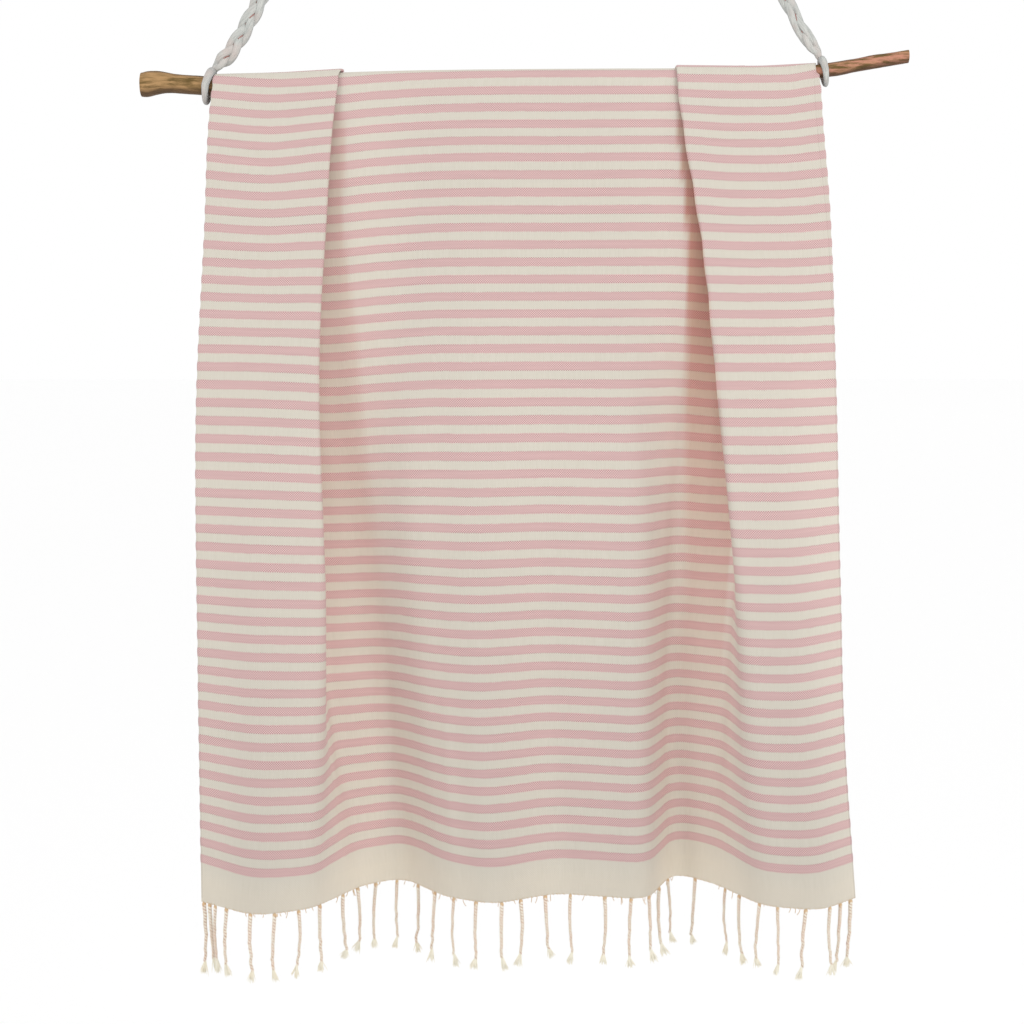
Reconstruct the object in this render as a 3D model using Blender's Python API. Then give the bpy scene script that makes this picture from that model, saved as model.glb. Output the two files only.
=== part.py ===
"""A hammam towel that hangs over a driftwood stick, which two plaited ropes carry.

Metres, +Z up, the front faces -Y. The origin is the hanging point, midway between the eyes of the
two ropes. Tables are in millimetres and degrees, and MM turns them into metres.
"""

import math
import random

import bmesh
import bpy
import numpy as np

MM = 0.001

# Driving dimensions
CLOTH_WIDTH = 1000.0  # mm, selvedge to selvedge
CLOTH_LENGTH = 1850.0  # mm, hem to hem
CLOTH_THICKNESS = 1.5  # mm
FRONT_HEM_Z = -1122.0  # mm, height of the front hem
OVER_STICK = 1.55  # mm, from the stick's skin to the middle of the cloth that lies on it
FRONT_ROWS, ARCH_ROWS, BACK_ROWS = 19, 8, 15  # steps of the cloth down the front, over the stick, down the back
LEVEL_AT_STICK = 0.025  # how far down the folds are where the cloth leaves the stick

FRINGE_GAP = 0.3  # mm between the hem and the strip that holds the strands
STRIP_HEIGHT = 3.0  # mm
STRANDS = 34
STRAND_PITCH = 29.4  # mm between strands, along the hem
FIRST_STRAND = 15.0  # mm from the selvedge

STICK_SIDES = 14
STICK_RINGS = 34

# The stick: place along it, height of its middle, radius
STICK = (
    (-438.6, -162.0, 13.6),
    (-431.8, -161.5, 14.4),
    (-422.2, -160.5, 13.0),
    (-410.5, -160.0, 11.4),
    (-387.3, -161.5, 10.9),
    (-354.4, -163.5, 10.9),
    (-268.3, -164.0, 10.6),
    (-163.9, -160.5, 10.2),
    (89.6, -156.5, 9.2),
    (204.7, -155.5, 8.8),
    (298.5, -151.8, 8.4),
    (335.2, -147.9, 8.1),
    (349.8, -145.6, 8.0),
    (387.5, -139.2, 7.8),
    (443.6, -130.1, 7.6),
)

# The folds: straight runs of cloth between soft bends, from the left selvedge to the right one. Each
# level gives where a run starts and ends across the cloth, and its heading seen from above: 0 runs
# along the stick to the right, + turns in towards the stick and - out from it. At the stick the two
# pleats lie flat, 180 degrees back on themselves, and further down they open into waves.
LEVELS = (0.0, 0.28, 0.62, 1.0)
FRONT_RUNS = (
    # name             at the stick      upper            middle            hem
    ("left edge", 0, 60, -2, 0, 50, -1, 0, 41, -12, 0, 51, -35),
    ("left panel", 75, 142.3, -2, 80, 135, -2, 89, 140, 8, 116, 124, 21),
    ("left pleat", 145.9, 219.1, 180, 145, 207, 158, 164, 212, 116, 174, 224, 57),
    ("left recess", 222.7, 300, 0, 217, 275, 4, 235, 265, 13, 268, 272, 30),
    ("left rise", 315, 370, 0, 300, 360, -5, 319, 346, -38, 324, 356, -52),
    ("centre left", 385, 440, 0, 385, 430, -2, 393, 416, -18, 407, 417, -25),
    ("centre hollow", 455, 530, 0, 455, 530, 4, 468, 506, 11, 469, 498, 27),
    ("centre right", 545, 620, 0, 545, 620, 2, 555, 613, -10, 552, 604, -12),
    ("right fall", 640, 700, 0, 640, 700, 9, 669, 696, 58, 660, 702, 68),
    ("right recess", 715, 757.6, 0, 721, 784, -2, 733, 774, -26, 751, 760, -43),
    ("right pleat", 761.2, 837.8, -180, 790, 848, -161, 803, 850, -96, 803, 842, -58),
    ("right panel", 841.4, 920, 1.8, 852, 920, 4, 876, 905, -2, 903, 911, -13),
    ("right edge", 940, 1000, 1.8, 950, 1000, 11, 954, 1000, 37, 962, 1000, 41),
)
BACK_RUNS = (
    # name             at the stick      upper            middle            hem
    ("left edge", 0, 60, -2, 0, 55, -4, 0, 50, -6, 0, 48, -9),
    ("left panel", 75, 142.3, -2, 78, 142, -3, 80, 141, -3, 82, 140, -3),
    ("left pleat", 145.9, 219.1, 180, 148, 213, 169, 148.5, 212, 164, 149, 211, 159),
    ("left recess", 222.7, 300, 0, 218, 290, 1, 220, 285, 2, 221, 280, 4),
    ("left rise", 315, 370, 0, 314, 365, -3, 312, 360, -7, 310, 355, -12),
    ("centre left", 385, 440, 0, 385, 440, 1, 385, 435, 3, 386, 430, 7),
    ("centre hollow", 455, 530, 0, 455, 530, 1, 458, 527, 4, 460, 524, 7),
    ("centre right", 545, 620, 0, 545, 620, -1, 548, 618, -5, 550, 615, -9),
    ("right fall", 640, 700, 0, 640, 700, 1, 641, 697, 4, 642, 694, 7),
    ("right recess", 715, 757.6, 0, 715, 763, 0, 715, 762, -1, 714, 761, -2),
    ("right pleat", 761.2, 837.8, -180, 767, 834, -169, 769, 835, -164, 770, 836, -159),
    ("right panel", 841.4, 920, 1.8, 839.5, 918, 3, 841, 916, 4, 843, 914, 5),
    ("right edge", 940, 1000, 1.8, 943, 1000, 4, 946, 1000, 8, 948, 1000, 12),
)
# The left selvedge: level, place along the stick, and how far it stands out from the stick's side
FRONT_EDGE = (
    (0.0, -348.8, 0.0),
    (0.02, -353.3, 3.4),
    (0.2, -366.5, 11.0),
    (0.4, -378.0, 25.0),
    (0.7, -381.0, 37.0),
    (1.0, -383.0, 40.0),
)
BACK_EDGE = (
    (0.0, -348.8, 0.0),
    (0.02, -352.0, 1.0),
    (0.28, -361.0, 24.0),
    (0.62, -366.0, 46.0),
    (1.0, -366.0, 64.0),
)
PLEAT_TURN = 90.0  # degrees: a bend that turns further than this at the stick is a pleat's
PLEAT_STEPS, WAVE_STEPS = 3, 2  # steps of cloth round a pleat's bend and round a wave's

# A strand from its root down: drop, width and depth of its section
STRAND = (
    (9.0, 3.8, 3.2),
    (40.0, 3.4, 3.0),
    (68.0, 3.0, 2.8),
    (75.0, 5.6, 4.6),
    (88.0, 3.4, 2.6),
)
STRAND_LEAN = 4.0  # mm that a strand's end may stray from under its root
LEAN_SEED = 11

# The ropes, from the loop on the stick to the eye: place along the stick and height
LEFT_ROPE = (
    (-353.1, -143.0),
    (-348.4, -138.9),
    (-339.0, -129.5),
    (-328.5, -115.5),
    (-318.5, -99.5),
    (-308.5, -82.0),
    (-297.0, -59.5),
    (-284.4, -30.8),
    (-277.7, -18.9),
)
RIGHT_ROPE = (
    (341.0, -130.2),
    (339.2, -125.0),
    (332.2, -118.2),
    (323.1, -103.9),
    (313.2, -87.9),
    (301.8, -66.5),
    (290.4, -45.1),
    (280.6, -27.2),
    (276.2, -19.2),
)
PLAIT_WIDTH, PLAIT_DEPTH = 20.0, 13.0  # mm
PLAIT_REPEAT = 54.0  # mm, in which every strand crosses once to each side
PLAIT_SWELL = 1.6  # mm that a crossing strand stands out at the side
NECK_SHARE, NECK_LENGTH = 0.58, 18.0  # share of its width that a plait has at its loop, and mm until it is full
ROPE_SIDES, ROPE_STEP = 12, 5.0  # points round, and mm between the rings
EYE_X = 265.5  # mm from the hanging point to the middle of each eye
EYE_RADIUS, EYE_CORD = 16.5, 10.6  # mm, to the middle of the cord, and across the cord

# The loops round the stick: place along the stick at the top, at half height and at the bottom, radii
# to the middle of the cord above and below the stick's middle, width and depth of the cord
LEFT_LOOP = (-357.0, -362.8, -364.6, 16.0, 18.5, 10.4, 8.6)
RIGHT_LOOP = (344.0, 346.9, 349.3, 12.6, 15.6, 9.4, 7.4)


def clear_scene():
    for thing in list(bpy.context.scene.objects):
        bpy.data.objects.remove(thing)


def material(name, colour, roughness):
    finish = bpy.data.materials.new(name)
    finish.use_nodes = True
    shader = finish.node_tree.nodes["Principled BSDF"]
    shader.inputs["Base Color"].default_value = (*colour, 1.0)
    shader.inputs["Roughness"].default_value = roughness
    shader.inputs["Metallic"].default_value = 0.0
    finish.diffuse_color = (*colour, 1.0)
    return finish


def add_object(name, vertices, faces, finish, smooth_angle=50.0):
    """One object from points in millimetres."""
    mesh = bpy.data.meshes.new(name)
    mesh.from_pydata([tuple(float(c) * MM for c in point) for point in vertices], [], faces)
    bm = bmesh.new()
    bm.from_mesh(mesh)
    bmesh.ops.recalc_face_normals(bm, faces=bm.faces)
    bm.to_mesh(mesh)
    bm.free()
    mesh.shade_smooth()
    mesh.set_sharp_from_angle(angle=math.radians(smooth_angle))
    mesh.materials.append(finish)
    thing = bpy.data.objects.new(name, mesh)
    bpy.context.scene.collection.objects.link(thing)
    return thing


def along(rows, place, column):
    """A column of a table as a smooth curve over its first column."""
    table = np.array(rows, float)
    x, y = table[:, 0], table[:, column]
    place = np.clip(place, x[0], x[-1])
    slope = np.diff(y) / np.diff(x)
    ends = np.concatenate([slope[:1], (slope[1:] + slope[:-1]) / 2, slope[-1:]])
    ends[1:-1][slope[1:] * slope[:-1] <= 0] = 0.0
    row = np.clip(np.searchsorted(x, place) - 1, 0, len(x) - 2)
    step = x[row + 1] - x[row]
    return between((place - x[row]) / step, step, y[row], y[row + 1], ends[row], ends[row + 1])


def between(t, step, start, end, start_slope, end_slope):
    """A cubic from start to end, with the slopes that it has there."""
    eased = t * t * (3 - 2 * t)
    bow = step * t * (1 - t) * ((1 - t) * start_slope - t * end_slope)
    return start + (end - start) * eased + bow


def loft(rings):
    """Faces of a closed body through rings of points: sides, then the two ends."""
    count, sides = len(rings), len(rings[0])
    faces = []
    for ring in range(count - 1):
        for side in range(sides):
            a = ring * sides + side
            b = ring * sides + (side + 1) % sides
            faces.append((a, b, b + sides, a + sides))
    faces.append(tuple(range(sides)))
    faces.append(tuple(range((count - 1) * sides, count * sides)))
    return [point for ring in rings for point in ring], faces


# Stick


def stick_height(x):
    return along(STICK, x, 1)


def stick_radius(x):
    return along(STICK, x, 2)


def make_stick(finish):
    """A thin branch, thick at its sawn left end and bent up at its right one."""
    first, last = STICK[0][0], STICK[-1][0]
    # Rings stand closer together near the two ends, where the branch changes most
    shares = [(1 - math.cos(math.pi * k / (STICK_RINGS - 1))) / 2 for k in range(STICK_RINGS)]
    rings = []
    for share in shares:
        x = first + (last - first) * share
        ring = []
        for side in range(STICK_SIDES):
            angle = 2 * math.pi * side / STICK_SIDES
            ring.append(
                (x, stick_radius(x) * math.cos(angle), stick_height(x) + stick_radius(x) * math.sin(angle))
            )
        rings.append(ring)
    vertices, faces = loft(rings)
    return add_object("stick", vertices, faces, finish)


# Cloth


def at_level(values, level):
    """A value that the four levels give, read at any level."""
    slopes = [(values[k + 1] - values[k]) / (LEVELS[k + 1] - LEVELS[k]) for k in range(3)]
    ends = [slopes[0], (slopes[0] + slopes[1]) / 2, (slopes[1] + slopes[2]) / 2, slopes[2]]
    k = sum(level >= mark for mark in LEVELS[1:3])
    step = LEVELS[k + 1] - LEVELS[k]
    return between((level - LEVELS[k]) / step, step, values[k], values[k + 1], ends[k], ends[k + 1])


def bends(runs, level):
    """Marks across the cloth, two for each run, and the heading at each mark."""
    marks, headings = [], []
    for run in runs:
        start, end, heading = (at_level(run[1 + column :: 3], level) for column in range(3))
        marks += [start, end]
        headings += [heading, heading]
    return np.array(marks), np.array(headings)


def column_places(runs, level):
    """Where the sheet's columns of points lie across the cloth: each run's two ends, and points in each bend."""
    marks, _ = bends(runs, level)
    places = [marks[0], marks[1]]
    for k in range(1, len(runs)):
        turn = abs(runs[k][3] - runs[k - 1][3])
        steps = PLEAT_STEPS if turn > PLEAT_TURN else WAVE_STEPS
        places += list(np.linspace(marks[2 * k - 1], marks[2 * k], steps + 1)[1:])
        places.append(marks[2 * k + 1])
    return np.array(places)


def fold_line(runs, edge, level, places):
    """The cloth's line seen from above at one level: along the stick, out from its side, and heading."""
    fine = np.linspace(0.0, CLOTH_WIDTH, 4001)
    marks, headings = bends(runs, level)
    k = np.clip(np.searchsorted(marks, fine, side="right") - 1, 0, len(marks) - 2)
    t = np.clip((fine - marks[k]) / (marks[k + 1] - marks[k]), 0.0, 1.0)
    heading = np.radians(headings[k] + (headings[k + 1] - headings[k]) * t * t * (3 - 2 * t))
    middle = (heading[1:] + heading[:-1]) / 2
    step = fine[1] - fine[0]
    x = along(edge, level, 1) + np.concatenate([[0.0], np.cumsum(np.cos(middle) * step)])
    out = along(edge, level, 2) - np.concatenate([[0.0], np.cumsum(np.sin(middle) * step)])
    return tuple(np.interp(places, fine, line) for line in (x, out, heading))


def cloth_rows():
    """Each row of the sheet as (middle points, normals), from the front hem over the stick to the back hem."""
    top_x, top_out, _ = fold_line(FRONT_RUNS, FRONT_EDGE, 0.0, column_places(FRONT_RUNS, 0.0))
    axis = stick_height(top_x)
    base = stick_radius(top_x) + OVER_STICK
    length_in_front = axis - FRONT_HEM_Z + math.pi / 2 * (base + top_out)
    back_hem_z = float(np.mean(axis + math.pi / 2 * (base + top_out) - (CLOTH_LENGTH - length_in_front)))
    rows = []

    def hanging(runs, edge, level, hem_z, facing):
        """A row of one panel. facing is -1 for the front panel and +1 for the back one."""
        x, out, heading = fold_line(runs, edge, level, column_places(runs, level))
        share = (level - LEVEL_AT_STICK) / (1 - LEVEL_AT_STICK)
        z = axis + (hem_z - axis) * share
        points = np.stack([x, facing * (base + out), z], axis=1)
        normals = np.stack([np.sin(heading), facing * np.cos(heading), 0 * x], axis=1)
        return points, normals

    def over(angle):
        """A row on the stick, at an angle from the front (0) over the top to the back (180 degrees)."""
        level = LEVEL_AT_STICK * abs(math.cos(angle))
        runs, edge = (FRONT_RUNS, FRONT_EDGE) if angle <= math.pi / 2 else (BACK_RUNS, BACK_EDGE)
        x, out, heading = fold_line(runs, edge, level, column_places(runs, level))
        reach = base + out
        points = np.stack([x, -reach * math.cos(angle), axis + reach * math.sin(angle)], axis=1)
        outward = np.cos(heading)
        normals = np.stack(
            [np.sin(heading), -outward * math.cos(angle), outward * math.sin(angle)], axis=1
        )
        return points, normals

    for level in np.linspace(1.0, LEVEL_AT_STICK, FRONT_ROWS + 1)[:-1]:
        rows.append(hanging(FRONT_RUNS, FRONT_EDGE, level, FRONT_HEM_Z, -1))
    for angle in np.linspace(0.0, math.pi, ARCH_ROWS + 1):
        rows.append(over(float(angle)))
    for level in np.linspace(LEVEL_AT_STICK, 1.0, BACK_ROWS + 1)[1:]:
        rows.append(hanging(BACK_RUNS, BACK_EDGE, level, back_hem_z, 1))
    return rows, back_hem_z


def make_towel(rows, finish):
    """The cloth as one closed sheet of even thickness."""
    columns = len(rows[0][0])
    outer = [p for points, normals in rows for p in points + normals * CLOTH_THICKNESS / 2]
    inner = [p for points, normals in rows for p in points - normals * CLOTH_THICKNESS / 2]
    across = len(outer)
    faces = []
    for row in range(len(rows) - 1):
        for column in range(columns - 1):
            a = row * columns + column
            faces.append((a, a + 1, a + columns + 1, a + columns))
            faces.append(tuple(across + corner for corner in (a, a + columns, a + columns + 1, a + 1)))
    rim = [(0, column) for column in range(columns - 1)]
    rim += [(row, columns - 1) for row in range(len(rows) - 1)]
    rim += [(len(rows) - 1, column) for column in range(columns - 1, 0, -1)]
    rim += [(row, 0) for row in range(len(rows) - 1, 0, -1)]
    round_rim = [row * columns + column for row, column in rim]
    for here, after in zip(round_rim, round_rim[1:] + round_rim[:1]):
        faces.append((here, across + here, across + after, after))
    return add_object("towel", outer + inner, faces, finish, smooth_angle=80.0)


# Fringe


def strand_places():
    return [FIRST_STRAND + STRAND_PITCH * k for k in range(STRANDS)]


def make_fringe(name, runs, edge, hem_z, facing, row, finish):
    """Twisted strands that hang from a narrow strip, which runs along just under the hem."""
    dice = random.Random(LEAN_SEED + facing)
    half_root = STRAND[0][1] / 2
    places = [2.0]
    for place in strand_places():
        places += [place - half_root, place + half_root]
    places.append(CLOTH_WIDTH - 2.0)
    x, out, heading = fold_line(runs, edge, 1.0, np.array(places))
    top_places = column_places(runs, 1.0)
    y = np.interp(places, top_places, row[0][:, 1])
    top = hem_z - FRINGE_GAP
    side = np.stack([np.sin(heading), facing * np.cos(heading)], axis=1) * CLOTH_THICKNESS / 2
    vertices, faces = [], []
    for k in range(len(places)):
        for z in (top, top - STRIP_HEIGHT):
            vertices.append((x[k] + side[k][0], y[k] + side[k][1], z))
            vertices.append((x[k] - side[k][0], y[k] - side[k][1], z))
    # Points of the strip at place k: outer top, inner top, outer bottom, inner bottom
    for k in range(len(places) - 1):
        a, b = 4 * k, 4 * (k + 1)
        faces += [(a, b, b + 1, a + 1), (a, a + 2, b + 2, b), (a + 1, b + 1, b + 3, a + 3)]
        if k % 2 == 0:
            faces.append((a + 2, a + 3, b + 3, b + 2))
            continue
        root = (a + 2, a + 3, b + 3, b + 2)
        middle = [(vertices[root[0]][c] + vertices[root[2]][c]) / 2 for c in range(2)]
        tangent = np.array([x[k + 1] - x[k], y[k + 1] - y[k]])
        tangent /= np.linalg.norm(tangent)
        normal = np.array([side[k][0], side[k][1]])
        normal /= np.linalg.norm(normal)
        lean = np.array([dice.uniform(-STRAND_LEAN, STRAND_LEAN), dice.uniform(-STRAND_LEAN, STRAND_LEAN) / 2])
        before = root
        for drop, width, depth in STRAND:
            share = (drop / STRAND[-1][0]) ** 2
            centre = np.array(middle) + lean * share
            first = len(vertices)
            for u, w in ((-1, 1), (-1, -1), (1, -1), (1, 1)):
                point = centre + tangent * (u * width / 2) + normal * (w * depth / 2)
                vertices.append((point[0], point[1], top - STRIP_HEIGHT - drop))
            ring = tuple(range(first, first + 4))
            for corner in range(4):
                after = (corner + 1) % 4
                faces.append((before[corner], before[after], ring[after], ring[corner]))
            before = ring
        faces.append(before)
    last = 4 * (len(places) - 1)
    faces += [(0, 1, 3, 2), (last, last + 2, last + 3, last + 1)]
    return add_object(name, vertices, faces, finish)


# Ropes


def rope_points(route):
    """The rope's middle line at even steps, read from a smooth curve through its route."""
    route = np.array(route)
    chord = np.concatenate([[0.0], np.cumsum(np.linalg.norm(np.diff(route, axis=0), axis=1))])
    rows = np.column_stack([chord, route])
    steps = max(2, round(chord[-1] / ROPE_STEP))
    at = np.linspace(0.0, chord[-1], steps + 1)
    return at, np.column_stack([along(rows, at, 1), 0 * at, along(rows, at, 2)])


def make_rope(name, route, finish):
    """A flat three-strand plait: its sides swell in turn where a strand comes round."""
    distance, points = rope_points(route)
    heading = np.gradient(points, axis=0)
    heading /= np.linalg.norm(heading, axis=1)[:, None]
    rings = []
    for at, centre, way in zip(distance, points, heading):
        across = np.array([way[2], 0.0, -way[0]])
        turn = 2 * math.pi * at / PLAIT_REPEAT
        neck = min(1.0, NECK_SHARE + (1 - NECK_SHARE) * at / NECK_LENGTH)
        ring = []
        for side in range(ROPE_SIDES):
            angle = 2 * math.pi * side / ROPE_SIDES
            wide, deep = math.cos(angle), math.sin(angle)
            swell = PLAIT_SWELL * math.cos(turn if wide > 0 else turn + math.pi) * abs(wide)
            groove = 1.0 - 0.16 * math.cos(2 * angle + turn) * abs(deep)
            half_width = (PLAIT_WIDTH / 2 - PLAIT_SWELL + swell) * neck
            ring.append(
                centre + across * wide * half_width + np.array([0.0, deep * groove * PLAIT_DEPTH / 2, 0.0])
            )
        rings.append(ring)
    vertices, faces = loft(rings)
    return add_object(name, vertices, faces, finish)


def make_ring(name, centres, across, width, depth, finish, sides=8):
    """A closed ring of cord through a loop of centres. across is the direction of the cord's width."""
    count = len(centres)
    vertices, faces = [], []
    middle = np.mean(centres, axis=0)
    across = np.array(across) / np.linalg.norm(across)
    for k in range(count):
        way = centres[(k + 1) % count] - centres[k - 1]
        outward = np.cross(way, across)
        outward /= np.linalg.norm(outward)
        if np.dot(outward, centres[k] - middle) < 0:
            outward = -outward
        for side in range(sides):
            angle = 2 * math.pi * side / sides
            vertices.append(
                centres[k] + across * math.cos(angle) * width / 2 + outward * math.sin(angle) * depth / 2
            )
    for k in range(count):
        for side in range(sides):
            a = k * sides + side
            b = k * sides + (side + 1) % sides
            ahead = (k + 1) % count * sides
            faces.append((a, b, ahead + (side + 1) % sides, ahead + side))
    return add_object(name, vertices, faces, finish)


def make_loop(name, loop, finish, steps=20):
    """The bight of a rope round the stick. It leans, and hangs a little slack below the stick."""
    top_x, middle_x, bottom_x, above, below, width, depth = loop
    axis_z = float(stick_height(middle_x))
    centres = []
    for k in range(steps):
        angle = 2 * math.pi * k / steps
        up = math.cos(angle)
        end_x, reach = (top_x, above) if up > 0 else (bottom_x, below)
        x = middle_x + (end_x - middle_x) * abs(up)
        centres.append(np.array([x, above * math.sin(angle), axis_z + reach * up]))
    return make_ring(name, np.array(centres), (1.0, 0.0, 0.0), width, depth, finish)


def make_eye(name, x, finish, steps=20):
    """The round eye at a rope's upper end. A hook goes through it from front to back."""
    centres = []
    for k in range(steps):
        angle = 2 * math.pi * k / steps
        centres.append(np.array([x + EYE_RADIUS * math.cos(angle), 0.0, EYE_RADIUS * math.sin(angle)]))
    return make_ring(name, np.array(centres), (0.0, 1.0, 0.0), EYE_CORD, EYE_CORD, finish)


def main():
    clear_scene()
    cotton = material("cotton cloth", (0.70, 0.55, 0.50), 0.9)
    fringe = material("twisted cotton", (0.78, 0.70, 0.56), 0.9)
    wood = material("driftwood", (0.33, 0.19, 0.10), 0.75)
    rope = material("cotton rope", (0.72, 0.72, 0.68), 0.9)

    rows, back_hem_z = cloth_rows()
    make_towel(rows, cotton)
    make_fringe("fringe_front", FRONT_RUNS, FRONT_EDGE, FRONT_HEM_Z, -1, rows[0], fringe)
    make_fringe("fringe_back", BACK_RUNS, BACK_EDGE, back_hem_z, 1, rows[-1], fringe)
    make_stick(wood)
    for side, route, loop, eye_x in (
        ("left", LEFT_ROPE, LEFT_LOOP, -EYE_X),
        ("right", RIGHT_ROPE, RIGHT_LOOP, EYE_X),
    ):
        make_rope("rope_" + side, route, rope)
        make_loop("loop_" + side, loop, rope)
        make_eye("eye_" + side, eye_x, rope)


main()
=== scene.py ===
# %% [markdown]
# # A hammam towel on a driftwood stick
# A thin striped cotton cloth hangs over a piece of driftwood, which two plaited ropes carry.
# Each cell makes one piece or one finish. Tables are in millimetres and degrees, as a maker would
# measure them, and `MM` turns them into Blender's metres. The front of the towel faces -Y.

import math
import random

import bmesh
import bpy
import numpy as np
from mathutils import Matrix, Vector, noise


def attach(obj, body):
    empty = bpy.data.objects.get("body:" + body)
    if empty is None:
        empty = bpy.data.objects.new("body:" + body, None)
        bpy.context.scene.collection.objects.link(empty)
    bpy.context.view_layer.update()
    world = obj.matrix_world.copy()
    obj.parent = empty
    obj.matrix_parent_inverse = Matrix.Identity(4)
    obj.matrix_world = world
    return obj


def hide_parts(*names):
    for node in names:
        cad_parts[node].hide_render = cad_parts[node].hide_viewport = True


MM = 0.001
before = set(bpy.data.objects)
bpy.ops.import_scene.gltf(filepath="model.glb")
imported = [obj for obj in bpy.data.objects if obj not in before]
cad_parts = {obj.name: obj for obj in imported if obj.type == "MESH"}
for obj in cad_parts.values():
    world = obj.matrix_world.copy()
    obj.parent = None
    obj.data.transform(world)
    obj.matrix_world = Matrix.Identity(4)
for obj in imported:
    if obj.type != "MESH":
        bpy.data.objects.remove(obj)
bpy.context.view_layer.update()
print("solids:", sorted(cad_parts))


# %% [markdown]
# A few small helpers serve the whole file. Screens state colours in sRGB, while a shader needs
# linear light, so one function turns a hex colour into the other. Another adds a node to any tree
# and links it. The others make objects: many pieces here are rings of points joined into a closed
# tube, so one function lists the faces of any such tube.


# %% Helpers
COLOUR = {"data_type": "RGBA"}  # the setting with which a Mix node blends colours


def linear(hex_colour):
    """A colour such as 'ddd6cb' as linear red, green, blue and alpha."""
    channels = [int(hex_colour[k : k + 2], 16) / 255 for k in (0, 2, 4)]
    return tuple(c / 12.92 if c <= 0.04045 else ((c + 0.055) / 1.055) ** 2.4 for c in channels) + (1.0,)


def node(tree, kind, inputs=None, **settings):
    """Adds one node. inputs holds, for a socket's name or number, a value, a node or a socket to link."""
    made = tree.nodes.new(kind)
    for name, value in settings.items():
        setattr(made, name, value)
    for key, value in (inputs or {}).items():
        if isinstance(value, bpy.types.Node):
            value = value.outputs[0]
        if isinstance(value, bpy.types.NodeSocket):
            tree.links.new(value, made.inputs[key])
        else:
            made.inputs[key].default_value = value
    return made


def new_object(name, data):
    """An object for a mesh, a curve, a lamp or a camera, put into the scene."""
    thing = bpy.data.objects.new(name, data)
    bpy.context.scene.collection.objects.link(thing)
    return thing


def tube_faces(rings, around, first=0):
    """The faces of a closed tube: rings of points one after the other, from point number first."""
    faces = []
    for ring in range(rings - 1):
        for k in range(around):
            here, beside = (first + ring * around + n % around for n in (k, k + 1))
            faces.append((here, beside, beside + around, here + around))
    for start in (first, first + (rings - 1) * around):
        faces.append(tuple(range(start, start + around)))
    return faces


def mesh_object(name, points, faces, finish, smooth_angle=60.0):
    """An object from points in millimetres, with its faces turned outwards."""
    mesh = bpy.data.meshes.new(name)
    mesh.from_pydata([tuple(float(c) * MM for c in p) for p in points], [], faces)
    mesh.materials.append(finish)
    bm = bmesh.new()
    bm.from_mesh(mesh)
    bmesh.ops.recalc_face_normals(bm, faces=bm.faces)
    bm.to_mesh(mesh)
    bm.free()
    mesh.shade_smooth()
    mesh.set_sharp_from_angle(angle=math.radians(smooth_angle))
    return new_object(name, mesh)


def principled(name, roughness):
    """A new material, with its node tree and its shader. Nothing here shines, so its highlights are low."""
    finish = bpy.data.materials.new(name)
    finish.use_nodes = True
    shader = finish.node_tree.nodes["Principled BSDF"]
    shader.inputs["Roughness"].default_value = roughness
    shader.inputs["Specular IOR Level"].default_value = 0.2
    return finish, finish.node_tree, shader


# %% [markdown]
# The camera stands a little above the middle of the towel and looks down on it: the stripes run
# almost straight at the stick and swing up and down with the folds towards the hem. A long lens,
# two metres away, keeps the folds from looking stretched.

# %% Camera
CAMERA_AT = (-11.9, -2200.0, -347.4)
CAMERA_TILT = 8.06  # degrees down
LENS_PIXELS = 1868.5  # focal length, in pixels of the picture
PICTURE = 1024  # pixels across
SENSOR = 36.0

lens = bpy.data.cameras.new("camera")
lens.sensor_width = SENSOR
lens.lens = LENS_PIXELS / PICTURE * SENSOR
lens.clip_end = 60.0
camera = new_object("camera", lens)
camera.location = Vector(CAMERA_AT) * MM
camera.rotation_euler = (math.radians(90 - CAMERA_TILT), 0.0, 0.0)
bpy.context.scene.camera = camera
print("lens, mm:", round(lens.lens, 2))

# %% [markdown]
# A studio picture on white has a big soft light in front and above, a fainter one from the other
# side, and white all round. The floor lies far below, so that the towel throws no shadow on it.

# %% Floor, lights and white surroundings
FLOOR_Z = -2.6  # metres
FLOOR_SIZE = 60.0  # metres, so that its edge never shows
paper, tree, shader = principled("matt white paper", 0.9)
grain = node(tree, "ShaderNodeTexNoise", {"Scale": 3.0, "Detail": 2.0})
tone = node(tree, "ShaderNodeMix", {0: grain, 6: linear("fdfdfd"), 7: linear("ffffff")}, **COLOUR)
tree.links.new(tone.outputs[2], shader.inputs["Base Color"])

bpy.ops.mesh.primitive_plane_add(size=FLOOR_SIZE, location=(0.0, 0.0, FLOOR_Z))
floor = bpy.context.object
floor.name = "floor"
floor.data.materials.append(paper)

LIT_PLACE = (0.0, 0.0, -0.6)  # metres: the middle of the towel, which both lights face
LIGHTS = (
    # name, place in metres, size in metres, watts
    ("right softbox", (1.5, -1.9, 0.5), 1.0, 14.5),
    ("left softbox", (-1.6, -1.9, 0.5), 1.0, 7.5),
)
for name, place, size, watts in LIGHTS:
    lamp = bpy.data.lights.new(name, "AREA")
    lamp.shape = "SQUARE"
    lamp.size = size
    lamp.energy = watts
    light = new_object(name, lamp)
    light.location = place
    light.rotation_euler = (Vector(LIT_PLACE) - Vector(place)).to_track_quat("-Z", "Y").to_euler()

world = bpy.data.worlds.new("white surroundings")
bpy.context.scene.world = world
world.use_nodes = True
world.node_tree.nodes["Background"].inputs["Color"].default_value = (1.0, 1.0, 1.0, 1.0)
world.node_tree.nodes["Background"].inputs["Strength"].default_value = 1.0
bpy.context.scene.view_settings.view_transform = "Standard"
print("lights:", len(LIGHTS))

# %% [markdown]
# A table of sizes becomes a smooth curve here: `along` reads any column of a table between its
# rows. It doesn't overshoot, so a stick or a fold never bulges past the sizes that are given.


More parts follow.
